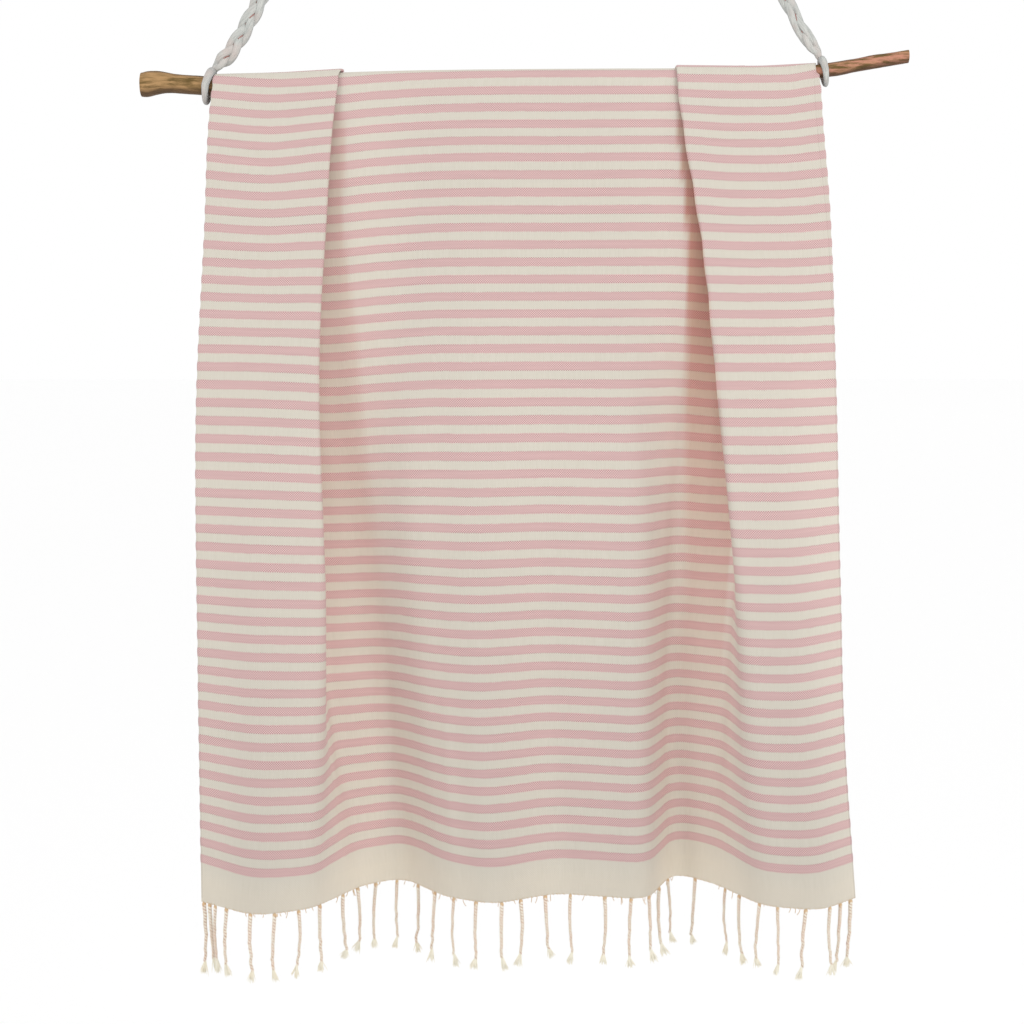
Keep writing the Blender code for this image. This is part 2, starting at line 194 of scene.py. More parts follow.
# %% Smooth reading of a table
def between(t, step, start, end, start_slope, end_slope):
    """A cubic from start to end, with the slopes that it has there."""
    eased = t * t * (3 - 2 * t)
    bow = step * t * (1 - t) * ((1 - t) * start_slope - t * end_slope)
    return start + (end - start) * eased + bow


def along(rows, place, column):
    """A column of a table as a smooth curve over its first column."""
    table = np.array(rows, float)
    x, y = table[:, 0], table[:, column]
    place = np.clip(place, x[0], x[-1])
    slope = np.diff(y) / np.diff(x)
    ends = np.concatenate([slope[:1], (slope[1:] + slope[:-1]) / 2, slope[-1:]])
    ends[1:-1][slope[1:] * slope[:-1] <= 0] = 0.0
    row = np.clip(np.searchsorted(x, place) - 1, 0, len(x) - 2)
    step = x[row + 1] - x[row]
    return between((place - x[row]) / step, step, y[row], y[row + 1], ends[row], ends[row + 1])


# %% [markdown]
# The ropes are soft white cotton, spun loosely, so each strand is a bundle of a few thick yarns
# that catch the light as fine ridges. Cotton is matt and a little downy, which the sheen gives. A
# fine noise that runs along the yarn makes its fibres, and a broad one greys it in patches.

# %% Cotton rope finish
YARN_GRAIN = 1.6  # mm across a bundle of fibres, drawn coarse so that it shows
WORN_PATCHES = 45.0  # to a metre, as worn patches are about 22 mm apart
COTTON_ROUGHNESS = 0.92
# The grey of the painted shade on the rope's sides
SIDE_SHADE_GREY = "8f9698"


def cotton_finish(name, light, dark, tint, shaded=0.0):
    """Soft cotton: long fibres in two tones, a faint tint where it shows wear, and painted shade on its
    sides.
    """
    finish, tree, shader = principled(name, COTTON_ROUGHNESS)
    shader.inputs["Sheen Weight"].default_value = 0.15
    place = node(tree, "ShaderNodeTexCoord").outputs["Object"]
    run = node(tree, "ShaderNodeAttribute", attribute_name="yarn_run").outputs["Vector"]
    fine = {"Vector": run, "Scale": 1 / (YARN_GRAIN * MM), "Detail": 3.0}
    fibre = node(tree, "ShaderNodeTexNoise", fine)
    patch = node(tree, "ShaderNodeTexNoise", {"Vector": place, "Scale": WORN_PATCHES, "Detail": 2.0})
    fibre_mask = node(tree, "ShaderNodeMapRange", {0: fibre, 1: 0.38, 2: 0.66})
    patch_mask = node(tree, "ShaderNodeMapRange", {0: patch, 1: 0.45, 2: 0.75})
    tones = node(tree, "ShaderNodeMix", {0: fibre_mask, 6: linear(light), 7: linear(dark)}, **COLOUR)
    combined = node(tree, "ShaderNodeMix", {0: patch_mask, 6: tones.outputs[2], 7: linear(tint)}, **COLOUR)
    # Painted shade: yarn that faces sideways is greyed more than what faces front or back
    facing = node(tree, "ShaderNodeSeparateXYZ", {0: node(tree, "ShaderNodeNewGeometry").outputs["Normal"]})
    front = node(tree, "ShaderNodeMath", {0: facing.outputs[1]}, operation="ABSOLUTE")
    side_shade_mask = node(tree, "ShaderNodeMapRange", {0: front, 1: 0.75, 2: 0.15, 4: shaded})
    side_shaded = node(tree, "ShaderNodeMix", {0: side_shade_mask, 6: combined.outputs[2], 7: linear(SIDE_SHADE_GREY)}, **COLOUR)
    tree.links.new(side_shaded.outputs[2], shader.inputs["Base Color"])
    bump = node(tree, "ShaderNodeBump", {"Height": fibre, "Strength": 0.5, "Distance": 0.4 * MM})
    tree.links.new(bump.outputs[0], shader.inputs["Normal"])
    return finish


# The rope's yarn gets painted shade on its sides; the fringe's cotton gets none
rope_cotton = cotton_finish("loosely spun white cotton", "c4c5c0", "abada9", "c4b8b2", shaded=0.55)
# The pink yarn fills the plait's core, and also paints the shadow in the slits between its strands
core_and_slit_shade = cotton_finish("dusty pink core yarn", "b3807a", "7d5a50", "9a6a60")
print("rope finishes:", rope_cotton.name, "and", core_and_slit_shade.name)

# %% [markdown]
# A rope strand, a loop and an eye are all the same thing: a ridged bundle that follows a line. One
# Geometry Nodes tree sweeps such a bundle, and twists it by turning the section as it goes. The
# section is a circle whose points are pushed in and out to make the yarns. The section is drawn as
# wide as it is deep, and a flat bundle is squeezed afterwards by its own line.

# %% Geometry Nodes: a ridged bundle along a line
BUNDLE_INPUTS = (
    ("Radius", "NodeSocketFloat"),
    ("Yarns", "NodeSocketFloat"),
    ("Groove", "NodeSocketFloat"),
    ("Turns per metre", "NodeSocketFloat"),
    ("Step", "NodeSocketFloat"),
    ("Sides", "NodeSocketInt"),
    ("Finish", "NodeSocketMaterial"),
)
POINT_NUMBER = {"data_type": "FLOAT", "domain": "POINT"}
POINT_VECTOR = {"data_type": "FLOAT_VECTOR", "domain": "POINT"}
FIBRE_STRETCH = 0.2  # fibres are drawn five times as long as they are wide


def new_geometry_tree(name, sockets):
    """An empty Geometry Nodes tree with one geometry in and out, and the named inputs."""
    tree = bpy.data.node_groups.new(name, "GeometryNodeTree")
    tree.interface.new_socket("Geometry", in_out="INPUT", socket_type="NodeSocketGeometry")
    for label, kind in sockets:
        tree.interface.new_socket(label, in_out="INPUT", socket_type=kind)
    tree.interface.new_socket("Geometry", in_out="OUTPUT", socket_type="NodeSocketGeometry")
    return tree, node(tree, "NodeGroupInput"), node(tree, "NodeGroupOutput")


def end_tree(tree, swept, pattern, given, result):
    """The end of every tree: keeps the fibres' pattern, makes instances real and puts the finish on."""
    paint = {"Geometry": swept, "Name": "yarn_run", "Value": pattern}
    painted = node(tree, "GeometryNodeStoreNamedAttribute", paint, **POINT_VECTOR)
    whole = node(tree, "GeometryNodeRealizeInstances", {"Geometry": painted})
    dressed = node(tree, "GeometryNodeSetMaterial", {"Geometry": whole, "Material": given.outputs["Finish"]})
    smooth = node(tree, "GeometryNodeSetShadeSmooth", {"Geometry": dressed})
    tree.links.new(smooth.outputs[0], result.inputs["Geometry"])


def ridged_section(tree, given):
    """A circle pushed in and out into yarns, with each point's place round it kept as "around"."""
    size = {"Resolution": given.outputs["Sides"], "Radius": 1.0}
    circle = node(tree, "GeometryNodeCurvePrimitiveCircle", size)
    around = node(tree, "GeometryNodeSplineParameter").outputs["Factor"]
    groove = given.outputs["Groove"]
    phase = node(tree, "ShaderNodeMath", {0: around, 1: given.outputs["Yarns"]}, operation="MULTIPLY")
    angle = node(tree, "ShaderNodeMath", {0: phase, 1: math.pi}, operation="MULTIPLY")
    wave = node(tree, "ShaderNodeMath", {0: angle}, operation="SINE")
    ridge = node(tree, "ShaderNodeMath", {0: wave}, operation="ABSOLUTE")
    low = node(tree, "ShaderNodeMath", {0: 1.0, 1: groove}, operation="SUBTRACT")
    swell = node(tree, "ShaderNodeMath", {0: ridge, 1: groove, 2: low}, operation="MULTIPLY_ADD")
    reach = node(tree, "ShaderNodeMath", {0: swell, 1: given.outputs["Radius"]}, operation="MULTIPLY")
    at = node(tree, "GeometryNodeInputPosition")
    pushed = node(tree, "ShaderNodeVectorMath", {0: at, "Scale": reach}, operation="SCALE")
    section = node(tree, "GeometryNodeSetPosition", {"Geometry": circle, "Position": pushed})
    mark = {"Geometry": section, "Name": "around", "Value": around}
    return node(tree, "GeometryNodeStoreNamedAttribute", mark, **POINT_NUMBER)


def fibre_pattern(tree, given):
    """Where the fibres' noise is read: round the bundle as wide as it is, and slowly along it."""
    length = node(tree, "GeometryNodeInputNamedAttribute", {"Name": "run"}, data_type="FLOAT")
    share = node(tree, "GeometryNodeInputNamedAttribute", {"Name": "around"}, data_type="FLOAT")
    full = node(tree, "ShaderNodeMath", {0: share, 1: 2 * math.pi}, operation="MULTIPLY")
    east = node(tree, "ShaderNodeMath", {0: full}, operation="COSINE")
    north = node(tree, "ShaderNodeMath", {0: full}, operation="SINE")
    round_it = node(tree, "ShaderNodeCombineXYZ", {0: east, 1: north})
    wide = {0: round_it, "Scale": given.outputs["Radius"]}
    girth = node(tree, "ShaderNodeVectorMath", wide, operation="SCALE")
    slow = node(tree, "ShaderNodeMath", {0: length, 1: FIBRE_STRETCH}, operation="MULTIPLY")
    lengthwise = node(tree, "ShaderNodeCombineXYZ", {2: slow})
    return node(tree, "ShaderNodeVectorMath", {0: girth, 1: lengthwise}, operation="ADD")


def bundle_tree():
    """Sweeps a ridged section along every curve of an object, and turns it as it goes."""
    tree, given, result = new_geometry_tree("ridged bundle", BUNDLE_INPUTS)
    even = {"Curve": given.outputs["Geometry"], "Length": given.outputs["Step"]}
    step = node(tree, "GeometryNodeResampleCurve", even, mode="LENGTH")
    run = node(tree, "GeometryNodeSplineParameter").outputs["Length"]
    twist = {0: run, 1: given.outputs["Turns per metre"]}
    turn = node(tree, "ShaderNodeMath", twist, operation="MULTIPLY")
    radians = node(tree, "ShaderNodeMath", {0: turn, 1: 2 * math.pi}, operation="MULTIPLY")
    twisted = node(tree, "GeometryNodeSetCurveTilt", {"Curve": step, "Tilt": radians})
    keep = {"Geometry": twisted, "Name": "run", "Value": run}
    kept = node(tree, "GeometryNodeStoreNamedAttribute", keep, **POINT_NUMBER)
    sweep = {"Curve": kept, "Profile Curve": ridged_section(tree, given), "Fill Caps": True}
    swept = node(tree, "GeometryNodeCurveToMesh", sweep)
    end_tree(tree, swept, fibre_pattern(tree, given), given, result)
    return tree


BUNDLE = bundle_tree()
print("tree:", BUNDLE.name, "with", len(BUNDLE_INPUTS), "inputs")

# %% [markdown]
# A tree works on an object through a modifier. Its inputs are set by their identifiers, and what
# comes out is copied into a plain mesh, because that is what is exported. The bundle's tree needs
# curves, so a small function makes one from each list of points.


# %% From a tree to a plain mesh
def run_tree(source, tree, values, name):
    """Runs a Geometry Nodes tree on an object and keeps the result as a plain mesh."""
    modifier = source.modifiers.new("tree", "NODES")
    modifier.node_group = tree
    for item in tree.interface.items_tree:
        if item.in_out == "INPUT" and item.name in values:
            modifier[item.identifier] = values[item.name]
    evaluated = source.evaluated_get(bpy.context.evaluated_depsgraph_get())
    mesh = bpy.data.meshes.new_from_object(evaluated)
    mesh.name = name
    bpy.data.objects.remove(source)
    return new_object(name, mesh)


def line_object(lines, closed=False):
    """A curve object with one straight-sided spline for each list of points in millimetres."""
    curve = bpy.data.curves.new("line", "CURVE")
    curve.dimensions = "3D"
    for points in lines:
        spline = curve.splines.new("POLY")
        spline.points.add(len(points) - 1)
        for point, place in zip(spline.points, points):
            point.co = (*(float(c) * MM for c in place), 1.0)
        spline.use_cyclic_u = closed
    return new_object("line", curve)


def sweep_bundle(name, lines, finish, radius, yarns, groove, turns, step, sides, closed=False):
    """A ridged bundle along each of some lines. Sizes and points are in millimetres."""
    values = {
        "Radius": radius * MM,
        "Yarns": float(yarns),
        "Groove": groove,
        "Turns per metre": turns,
        "Step": step * MM,
        "Sides": sides,
        "Finish": finish,
    }
    return run_tree(line_object(lines, closed), BUNDLE, values, name)


def join(name, things):
    """One object from several."""
    bpy.ops.object.select_all(action="DESELECT")
    for thing in things:
        thing.select_set(True)
    bpy.context.view_layer.objects.active = things[0]
    bpy.ops.object.join()
    joined = bpy.context.view_layer.objects.active
    joined.name = joined.data.name = name
    return joined


# %% [markdown]
# Each rope is a plait of three strands. In a plait every strand swings from side to side as a sine
# wave and passes over, then under, its neighbour as a wave of half that length, and the three are
# a third of a turn apart. That rule makes the lobes at the sides and the slits between them. The
# shadow in each slit is painted: a short slanting stroke of dark pink yarn.

# %% Sizes of the two plaited ropes
LEFT_ROPE = (
    (-353.1, -143.0),
    (-348.4, -138.9),
    (-339.0, -129.5),
    (-328.5, -115.5),
    (-318.5, -99.5),
    (-308.5, -82.0),
    (-297.0, -59.5),
    (-284.4, -30.8),
    (-277.7, -18.9),
)
RIGHT_ROPE = (
    (341.0, -130.2),
    (339.1, -125.0),
    (332.2, -118.2),
    (323.1, -103.9),
    (313.2, -87.9),
    (301.8, -66.5),
    (290.4, -45.1),
    (280.6, -27.2),
    (276.2, -19.2),
)
ROPES = (
    # name, route, one plait repeat, swing to each side, swing front to back, strand across and deep,
    # and where in its turn the first strand starts
    ("left", LEFT_ROPE, 82.0, 5.3, 2.6, 9.4, 7.2, 0.22),
    ("right", RIGHT_ROPE, 124.0, 4.3, 2.6, 8.6, 7.0, 0.05),
)
ROPE_STEP = 1.5  # mm between the sections of a strand
STRAND = (10, 0.10, 6.0, ROPE_STEP, 30)  # yarns, groove, turns to a metre, step, sides
NECK_SHARE, NECK_LENGTH = 0.50, 22.0  # how thin a strand is at the loop, and mm until it is full
# How many mm from its end the plait is open, and how open it is at the end: at the loop, at the eye
LOOP_CLOSING, EYE_CLOSING = (22.0, 0.1), (10.0, 0.3)
CORE = (3.0, 6, 0.1, 20.0, 3.0, 12)  # radius, and then as for a strand
CORE_SHORT = 6.0  # how many mm before the eye the core stops
# Where one strand dives under the next, a pink yarn is laid for a moment as a slanting stroke, which
# paints the shadow in the slit. It has half its length, its slant, how far its middle lies in front
# of the rope's, and how much deeper its ends lie
SLIT = (0.75, 4, 0.1, 60.0, ROPE_STEP, 8)
SLIT_HALF, SLIT_SLANT, SLIT_FRONT, SLIT_DIVE = 5.0, 0.30, 3.75, 1.2
print("ropes:", *(side for side, *_ in ROPES))

# %% [markdown]
# Two helpers come first. One walks along a rope's route in even steps. The other presses a swept
# bundle flat, towards its own line, because a plait's strands are wider than they are deep.

# %% A rope's line, and a flat bundle
BLOCK = 4000  # points that are handled at a time, so that the table of distances stays small


def route_line(route, step):
    """A smooth line through a rope's route: distance, point and direction at even steps."""
    route = np.array(route)
    chord = np.concatenate([[0.0], np.cumsum(np.linalg.norm(np.diff(route, axis=0), axis=1))])
    rows = np.column_stack([chord, route])
    at = np.linspace(0.0, chord[-1], max(2, round(chord[-1] / step)) + 1)
    points = np.column_stack([along(rows, at, 1), 0 * at, along(rows, at, 2)])
    way = np.gradient(points, axis=0)
    return at, points, way / np.linalg.norm(way, axis=1)[:, None]


def squeeze(thing, centre_points, share, neck):
    """Makes a swept bundle flatter from front to back, and thinner by its neck, towards its own line."""
    co = np.array([v.co for v in thing.data.vertices]) / MM
    near = np.array(centre_points)
    for start in range(0, len(co), BLOCK):
        block = co[start : start + BLOCK]
        nearest = np.argmin(((block[:, None, :] - near[None]) ** 2).sum(axis=2), axis=1)
        away = (block - near[nearest]) * neck[nearest][:, None]
        block[:] = near[nearest] + away * np.array([1.0, share, 1.0])
    thing.data.vertices.foreach_set("co", (co * MM).astype(np.float32).ravel())
    thing.data.update()


# %% [markdown]
# Now the plait itself. Its three strands close up towards both ends, where they run into the loop
# and the eye. A core yarn fills the middle, so that no light shows through, and the pink strokes
# that paint the shadow in the slits are laid at every crossing on the front.


# %% One plaited rope
def slit_strokes(at, middle, across, repeat, start):
    """The lines of the pink strokes that paint the shadow in the slits, one for each crossing on the front.
    """
    strokes = []
    for number in range(math.ceil(3 * at[-1] / repeat)):
        centre = repeat * (0.5 - start + number / 3)
        if NECK_LENGTH < centre < at[-1] - 2 * SLIT_HALF:
            near = np.abs(at - centre) <= SLIT_HALF
            stroke = middle[near] + across[near] * (SLIT_SLANT * (at[near] - centre))[:, None]
            stroke[:, 1] -= SLIT_FRONT - SLIT_DIVE * ((at[near] - centre) / SLIT_HALF) ** 2
            strokes.append(stroke)
    return strokes


def make_rope(side, route, repeat, swing, lift, wide, deep, start):
    """One plait, and the line of its middle."""
    at, middle, way = route_line(route, ROPE_STEP)
    across = np.stack([way[:, 2], 0 * at, -way[:, 0]], axis=1)
    from_loop = at / LOOP_CLOSING[0] + LOOP_CLOSING[1]
    from_eye = (at[-1] - at) / EYE_CLOSING[0] + EYE_CLOSING[1]
    open_share = np.clip(np.minimum(from_loop, from_eye), 0.0, 1.0)
    inside = (at > NECK_LENGTH) & (at < at[-1] - CORE_SHORT)
    neck = np.minimum(1.0, NECK_SHARE + (1 - NECK_SHARE) * at / NECK_LENGTH)
    strands = []
    for k in range(3):
        turn = 2 * math.pi * (at / repeat + start + k / 3)
        line = middle + across * (swing * open_share * np.sin(turn))[:, None]
        line[:, 1] += lift * np.sin(2 * turn)
        strand = sweep_bundle(f"strand_{k}", [line], rope_cotton, wide / 2, *STRAND)
        squeeze(strand, line, deep / wide, neck)
        strands.append(strand)
    strands.append(sweep_bundle("core", [middle[inside]], core_and_slit_shade, *CORE))
    slits = slit_strokes(at, middle, across, repeat, start)
    strands.append(sweep_bundle("slits", slits, core_and_slit_shade, *SLIT))
    return join(f"plait_{side}", strands), middle


# %% [markdown]
# At its lower end the plait's strands come together in a bight that goes once round the stick. Its
# upper end is doubled back into a round eye, which hangs on a hook just above the picture. Both
# need to know where the stick is, so its table comes first.

# %% The stick's line
STICK = (
    # place along it, height of its middle, radius
    (-438.6, -162.0, 13.6),
    (-431.8, -161.5, 14.4),
    (-422.2, -160.5, 13.0),
    (-410.5, -160.0, 11.4),
    (-387.3, -161.5, 10.9),
    (-354.4, -163.5, 10.9),
    (-268.3, -164.0, 10.6),
    (-163.9, -160.5, 10.2),
    (89.6, -156.5, 9.2),
    (204.7, -155.5, 8.8),
    (298.5, -151.8, 8.4),
    (335.2, -147.9, 8.1),
    (349.8, -145.6, 8.0),
    (387.5, -139.2, 7.8),
    (443.6, -130.1, 7.6),
)


def stick_height(x):
    """The height of the stick's middle at a place along it."""
    return along(STICK, x, 1)


def stick_radius(x):
    """The stick's radius at a place along it."""
    return along(STICK, x, 2)


print("stick, mm long:", round(STICK[-1][0] - STICK[0][0], 1))

# %% [markdown]
# A loop and an eye are closed lines, swept by the same tree. The loop is an upright ring round the
# stick, a little flattened, and thicker at its top, where the strands of the plait come together.

# %% Loops and eyes
# Place at the top, at half height and at the bottom; reach above and below the stick; width, depth
LEFT_LOOP = (-357.0, -362.8, -364.6, 16.0, 18.5, 10.4, 8.6)
RIGHT_LOOP = (344.0, 346.9, 349.3, 12.6, 15.6, 9.4, 7.4)
LOOP_GIRTH, LOOP_TAPER = 1.0, 0.2  # a loop is a fifth thicker than its cord at the top, and thinner below
EYE_X, EYE_RADIUS, EYE_CORD = 265.5, 16.5, 10.6
# Yarns, groove and turns to a metre of a loop, and yarns and groove of an eye, which turns three times
LOOP_TWIST, EYE_TWIST, EYE_TURNS = (12, 0.12, 5.0), (6, 0.22), 3
RING_POINTS, RING_STEP, RING_SIDES = 90, 1.5, 36
STRAND_OVERLAP = 1.0  # mm that the strands run into the top of the loop, which hides where they end


def make_loop(side, sizes):
    """The bight of one rope, round the stick."""
    top_x, middle_x, bottom_x, above, below, width, depth = sizes
    axis_z = float(stick_height(middle_x))
    line = []
    for k in range(RING_POINTS):
        angle = 2 * math.pi * k / RING_POINTS
        up = math.cos(angle)
        end_x, reach = (top_x, above) if up > 0 else (bottom_x, below)
        line.append((middle_x + (end_x - middle_x) * abs(up), above * math.sin(angle), axis_z + reach * up))
    cord = (depth / 2, *LOOP_TWIST, RING_STEP, RING_SIDES)
    loop = sweep_bundle(f"bight_{side}", [line], rope_cotton, *cord, closed=True)
    heights = np.array([point[2] for point in line]) - axis_z
    squeeze(loop, line, width / depth, LOOP_GIRTH + LOOP_TAPER * heights / above)
    return loop


def make_eye(side, x):
    """The eye at a rope's upper end."""
    angles = [2 * math.pi * k / RING_POINTS for k in range(RING_POINTS)]
    line = [(x + EYE_RADIUS * math.cos(a), 0.0, EYE_RADIUS * math.sin(a)) for a in angles]
    turns = EYE_TURNS / (2 * math.pi * EYE_RADIUS * MM)  # a whole number, so that the twist closes
    cord = (EYE_CORD / 2, *EYE_TWIST, turns, RING_STEP, RING_SIDES)
    return sweep_bundle(f"hook_eye_{side}", [line], rope_cotton, *cord, closed=True)


for side, route, *sizes in ROPES:
    loop_sizes = LEFT_LOOP if side == "left" else RIGHT_LOOP
    loop_x, stick_x, _, above, *_ = loop_sizes
    loop_top = (loop_x, float(stick_height(stick_x)) + above - STRAND_OVERLAP)
    rope, middle = make_rope(side, (loop_top, *route), *sizes)
    loop = make_loop(side, loop_sizes)
    eye_piece = make_eye(side, -EYE_X if side == "left" else EYE_X)
    for piece, solid in ((rope, "rope_"), (loop, "loop_"), (eye_piece, "eye_")):
        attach(piece, "root")
        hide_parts(solid + side)

# %% [markdown]
# The cloth is one sheet, a metre wide. At each level, from the stick down to the hem, its line seen
# from above is made of straight runs with soft bends between them, and each run has a heading. At
# the stick the two pleats lie folded flat, and further down they open into waves. These tables are
# the part's own, so the fine cloth lies where its solid does.

# %% Cloth sizes and folds
CLOTH_WIDTH, CLOTH_LENGTH, CLOTH_THICKNESS = 1000.0, 1850.0, 1.5
FRONT_HEM_Z = -1122.0
OVER_STICK = 1.55  # mm from the stick's skin to the middle of the cloth
LEVEL_AT_STICK = 0.025  # levels go from 0 on top of the stick, past this one beside it, to 1 at the hem
LEVELS = (0.0, 0.28, 0.62, 1.0)
# For each of these four levels a run has three values: where it starts and where it ends, in mm
# across the cloth, and its heading in degrees
FRONT_RUNS = (
    # name             at the stick      upper            middle            hem
    ("left edge", 0, 60, -2, 0, 50, -1, 0, 41, -12, 0, 51, -35),
    ("left panel", 75, 142.3, -2, 80, 135, -2, 89, 140, 8, 116, 124, 21),
    ("left pleat", 145.9, 219.1, 180, 145, 207, 158, 164, 212, 116, 174, 224, 57),
    ("left recess", 222.7, 300, 0, 217, 275, 4, 235, 265, 13, 268, 272, 30),
    ("left rise", 315, 370, 0, 300, 360, -5, 319, 346, -38, 324, 356, -52),
    ("centre left", 385, 440, 0, 385, 430, -2, 393, 416, -18, 407, 417, -25),
    ("centre hollow", 455, 530, 0, 455, 530, 4, 468, 506, 11, 469, 498, 27),
    ("centre right", 545, 620, 0, 545, 620, 2, 555, 613, -10, 552, 604, -12),
    ("right fall", 640, 700, 0, 640, 700, 9, 669, 696, 58, 660, 702, 68),
    ("right recess", 715, 757.6, 0, 721, 784, -2, 733, 774, -26, 751, 760, -43),
    ("right pleat", 761.2, 837.8, -180, 790, 848, -161, 803, 850, -96, 803, 842, -58),
    ("right panel", 841.4, 920, 1.8, 852, 920, 4, 876, 905, -2, 903, 911, -13),
    ("right edge", 940, 1000, 1.8, 950, 1000, 11, 954, 1000, 37, 962, 1000, 41),
)
BACK_RUNS = (
    # name             at the stick      upper            middle            hem
    ("left edge", 0, 60, -2, 0, 55, -4, 0, 50, -6, 0, 48, -9),
    ("left panel", 75, 142.3, -2, 78, 142, -3, 80, 141, -3, 82, 140, -3),
    ("left pleat", 145.9, 219.1, 180, 148, 213, 169, 148.5, 212, 164, 149, 211, 159),
    ("left recess", 222.7, 300, 0, 218, 290, 1, 220, 285, 2, 221, 280, 4),
    ("left rise", 315, 370, 0, 314, 365, -3, 312, 360, -7, 310, 355, -12),
    ("centre left", 385, 440, 0, 385, 440, 1, 385, 435, 3, 386, 430, 7),
    ("centre hollow", 455, 530, 0, 455, 530, 1, 458, 527, 4, 460, 524, 7),
    ("centre right", 545, 620, 0, 545, 620, -1, 548, 618, -5, 550, 615, -9),
    ("right fall", 640, 700, 0, 640, 700, 1, 641, 697, 4, 642, 694, 7),
    ("right recess", 715, 757.6, 0, 715, 763, 0, 715, 762, -1, 714, 761, -2),
    ("right pleat", 761.2, 837.8, -180, 767, 834, -169, 769, 835, -164, 770, 836, -159),
    ("right panel", 841.4, 920, 1.8, 839.5, 918, 3, 841, 916, 4, 843, 914, 5),
    ("right edge", 940, 1000, 1.8, 943, 1000, 4, 946, 1000, 8, 948, 1000, 12),
)
# The left selvedge: level, place along the stick, and how far it stands out from the stick's side
FRONT_EDGE = (
    (0.0, -348.8, 0.0),
    (0.02, -353.3, 3.4),
    (0.2, -366.5, 11.0),
    (0.4, -378.0, 25.0),
    (0.7, -381.0, 37.0),
    (1.0, -383.0, 40.0),
)
BACK_EDGE = (
    (0.0, -348.8, 0.0),
    (0.02, -352.0, 1.0),
    (0.28, -361.0, 24.0),
    (0.62, -366.0, 46.0),
    (1.0, -366.0, 64.0),
)
# The solid has three more columns of points in a bend of over 90 degrees, and two in a softer one
PLEAT_TURN, PLEAT_STEPS, WAVE_STEPS = 90.0, 3, 2
print("runs across the cloth:", len(FRONT_RUNS), "in front and", len(BACK_RUNS), "behind")

# %% [markdown]
# A line whose heading is known everywhere is found by walking along it in small steps. So the
# width of the cloth stays a metre at every level, however it folds, as real cloth can't stretch.


# %% The line of the cloth at one level
FINE_PLACES = 4001  # steps of a quarter of a millimetre


def at_level(values, level):
    """A value that the four levels give, read at any level."""
    slopes = [(values[k + 1] - values[k]) / (LEVELS[k + 1] - LEVELS[k]) for k in range(3)]
    ends = [slopes[0], (slopes[0] + slopes[1]) / 2, (slopes[1] + slopes[2]) / 2, slopes[2]]
    k = sum(level >= mark for mark in LEVELS[1:3])
    step = LEVELS[k + 1] - LEVELS[k]
    return between((level - LEVELS[k]) / step, step, values[k], values[k + 1], ends[k], ends[k + 1])


def bends(runs, level):
    """Marks across the cloth, two for each run, and the heading at each mark."""
    marks, headings = [], []
    for run in runs:
        start, end, heading = (at_level(run[1 + column :: 3], level) for column in range(3))
        marks += [start, end]
        headings += [heading, heading]
    return np.array(marks), np.array(headings)


def column_places(runs, level):
    """Where the solid's columns of points lie across the cloth."""
    marks, _ = bends(runs, level)
    places = [marks[0], marks[1]]
    for k in range(1, len(runs)):
        turn = abs(runs[k][3] - runs[k - 1][3])
        steps = PLEAT_STEPS if turn > PLEAT_TURN else WAVE_STEPS
        places += list(np.linspace(marks[2 * k - 1], marks[2 * k], steps + 1)[1:])
        places.append(marks[2 * k + 1])
    return np.array(places)


def fold_line(runs, edge, level, places):
    """The cloth's line seen from above at one level: along the stick, out from its side, and heading."""
    fine = np.linspace(0.0, CLOTH_WIDTH, FINE_PLACES)
    marks, headings = bends(runs, level)
    k = np.clip(np.searchsorted(marks, fine, side="right") - 1, 0, len(marks) - 2)
    t = np.clip((fine - marks[k]) / (marks[k + 1] - marks[k]), 0.0, 1.0)
    heading = np.radians(headings[k] + (headings[k + 1] - headings[k]) * t * t * (3 - 2 * t))
    middle = (heading[1:] + heading[:-1]) / 2
    step = fine[1] - fine[0]
    x = along(edge, level, 1) + np.concatenate([[0.0], np.cumsum(np.cos(middle) * step)])
    out = along(edge, level, 2) - np.concatenate([[0.0], np.cumsum(np.sin(middle) * step)])
    return tuple(np.interp(places, fine, line) for line in (x, out, heading))


top_x, top_out, _ = fold_line(FRONT_RUNS, FRONT_EDGE, 0.0, column_places(FRONT_RUNS, 0.0))
AXIS = stick_height(top_x)
BASE = stick_radius(top_x) + OVER_STICK
in_front = AXIS - FRONT_HEM_Z + math.pi / 2 * (BASE + top_out)
BACK_HEM_Z = float(np.mean(AXIS + math.pi / 2 * (BASE + top_out) - (CLOTH_LENGTH - in_front)))
print(f"back hem {BACK_HEM_Z:.0f} mm below the eyes")

# %% [markdown]
# The sheet needs points where it bends, so its columns stand closer at the pleats than on the flat
# runs. In a sheet of even columns the pleats would look faceted, and a fine one would be heavy.

# %% Columns and rows of the sheet
SHEET_STEP = 5.6  # mm across the cloth
TIGHT = ((112, 150, 2.4), (204, 226, 2.4), (752, 806, 3.0), (834, 852, 2.4))  # from, to, step in mm
PLEAT_POINTS = (0.0, 1.2, 2.4, 3.6)  # mm from where a pleat's run starts or ends
LEAST_STEP = 0.7
FRONT_ROWS, ARCH_ROWS, BACK_ROWS = 96, 12, 62
TOP_ROW = FRONT_ROWS + ARCH_ROWS // 2  # the row on top of the stick


def sheet_places():
    """Where the sheet's columns lie, in mm across the cloth."""
    places = set(np.round(np.linspace(0.0, CLOTH_WIDTH, round(CLOTH_WIDTH / SHEET_STEP)), 2))
    for start, end, step in TIGHT:
        places = {p for p in places if not start - 1 < p < end + 1}
        places |= set(np.round(np.arange(start, end + 0.01, step), 2))
    for name, start, end, *_ in FRONT_RUNS:
        if "pleat" in name:
            for mark, side in ((start, -1), (end, 1)):
                places |= {round(mark + side * s, 2) for s in PLEAT_POINTS}
    ordered = sorted(places)
    kept = [ordered[0]]
    for place in ordered[1:]:
        if place - kept[-1] > LEAST_STEP:
            kept.append(place)
    kept[-1] = CLOTH_WIDTH
    return np.array(kept)


PLACES = sheet_places()
print("columns:", len(PLACES))
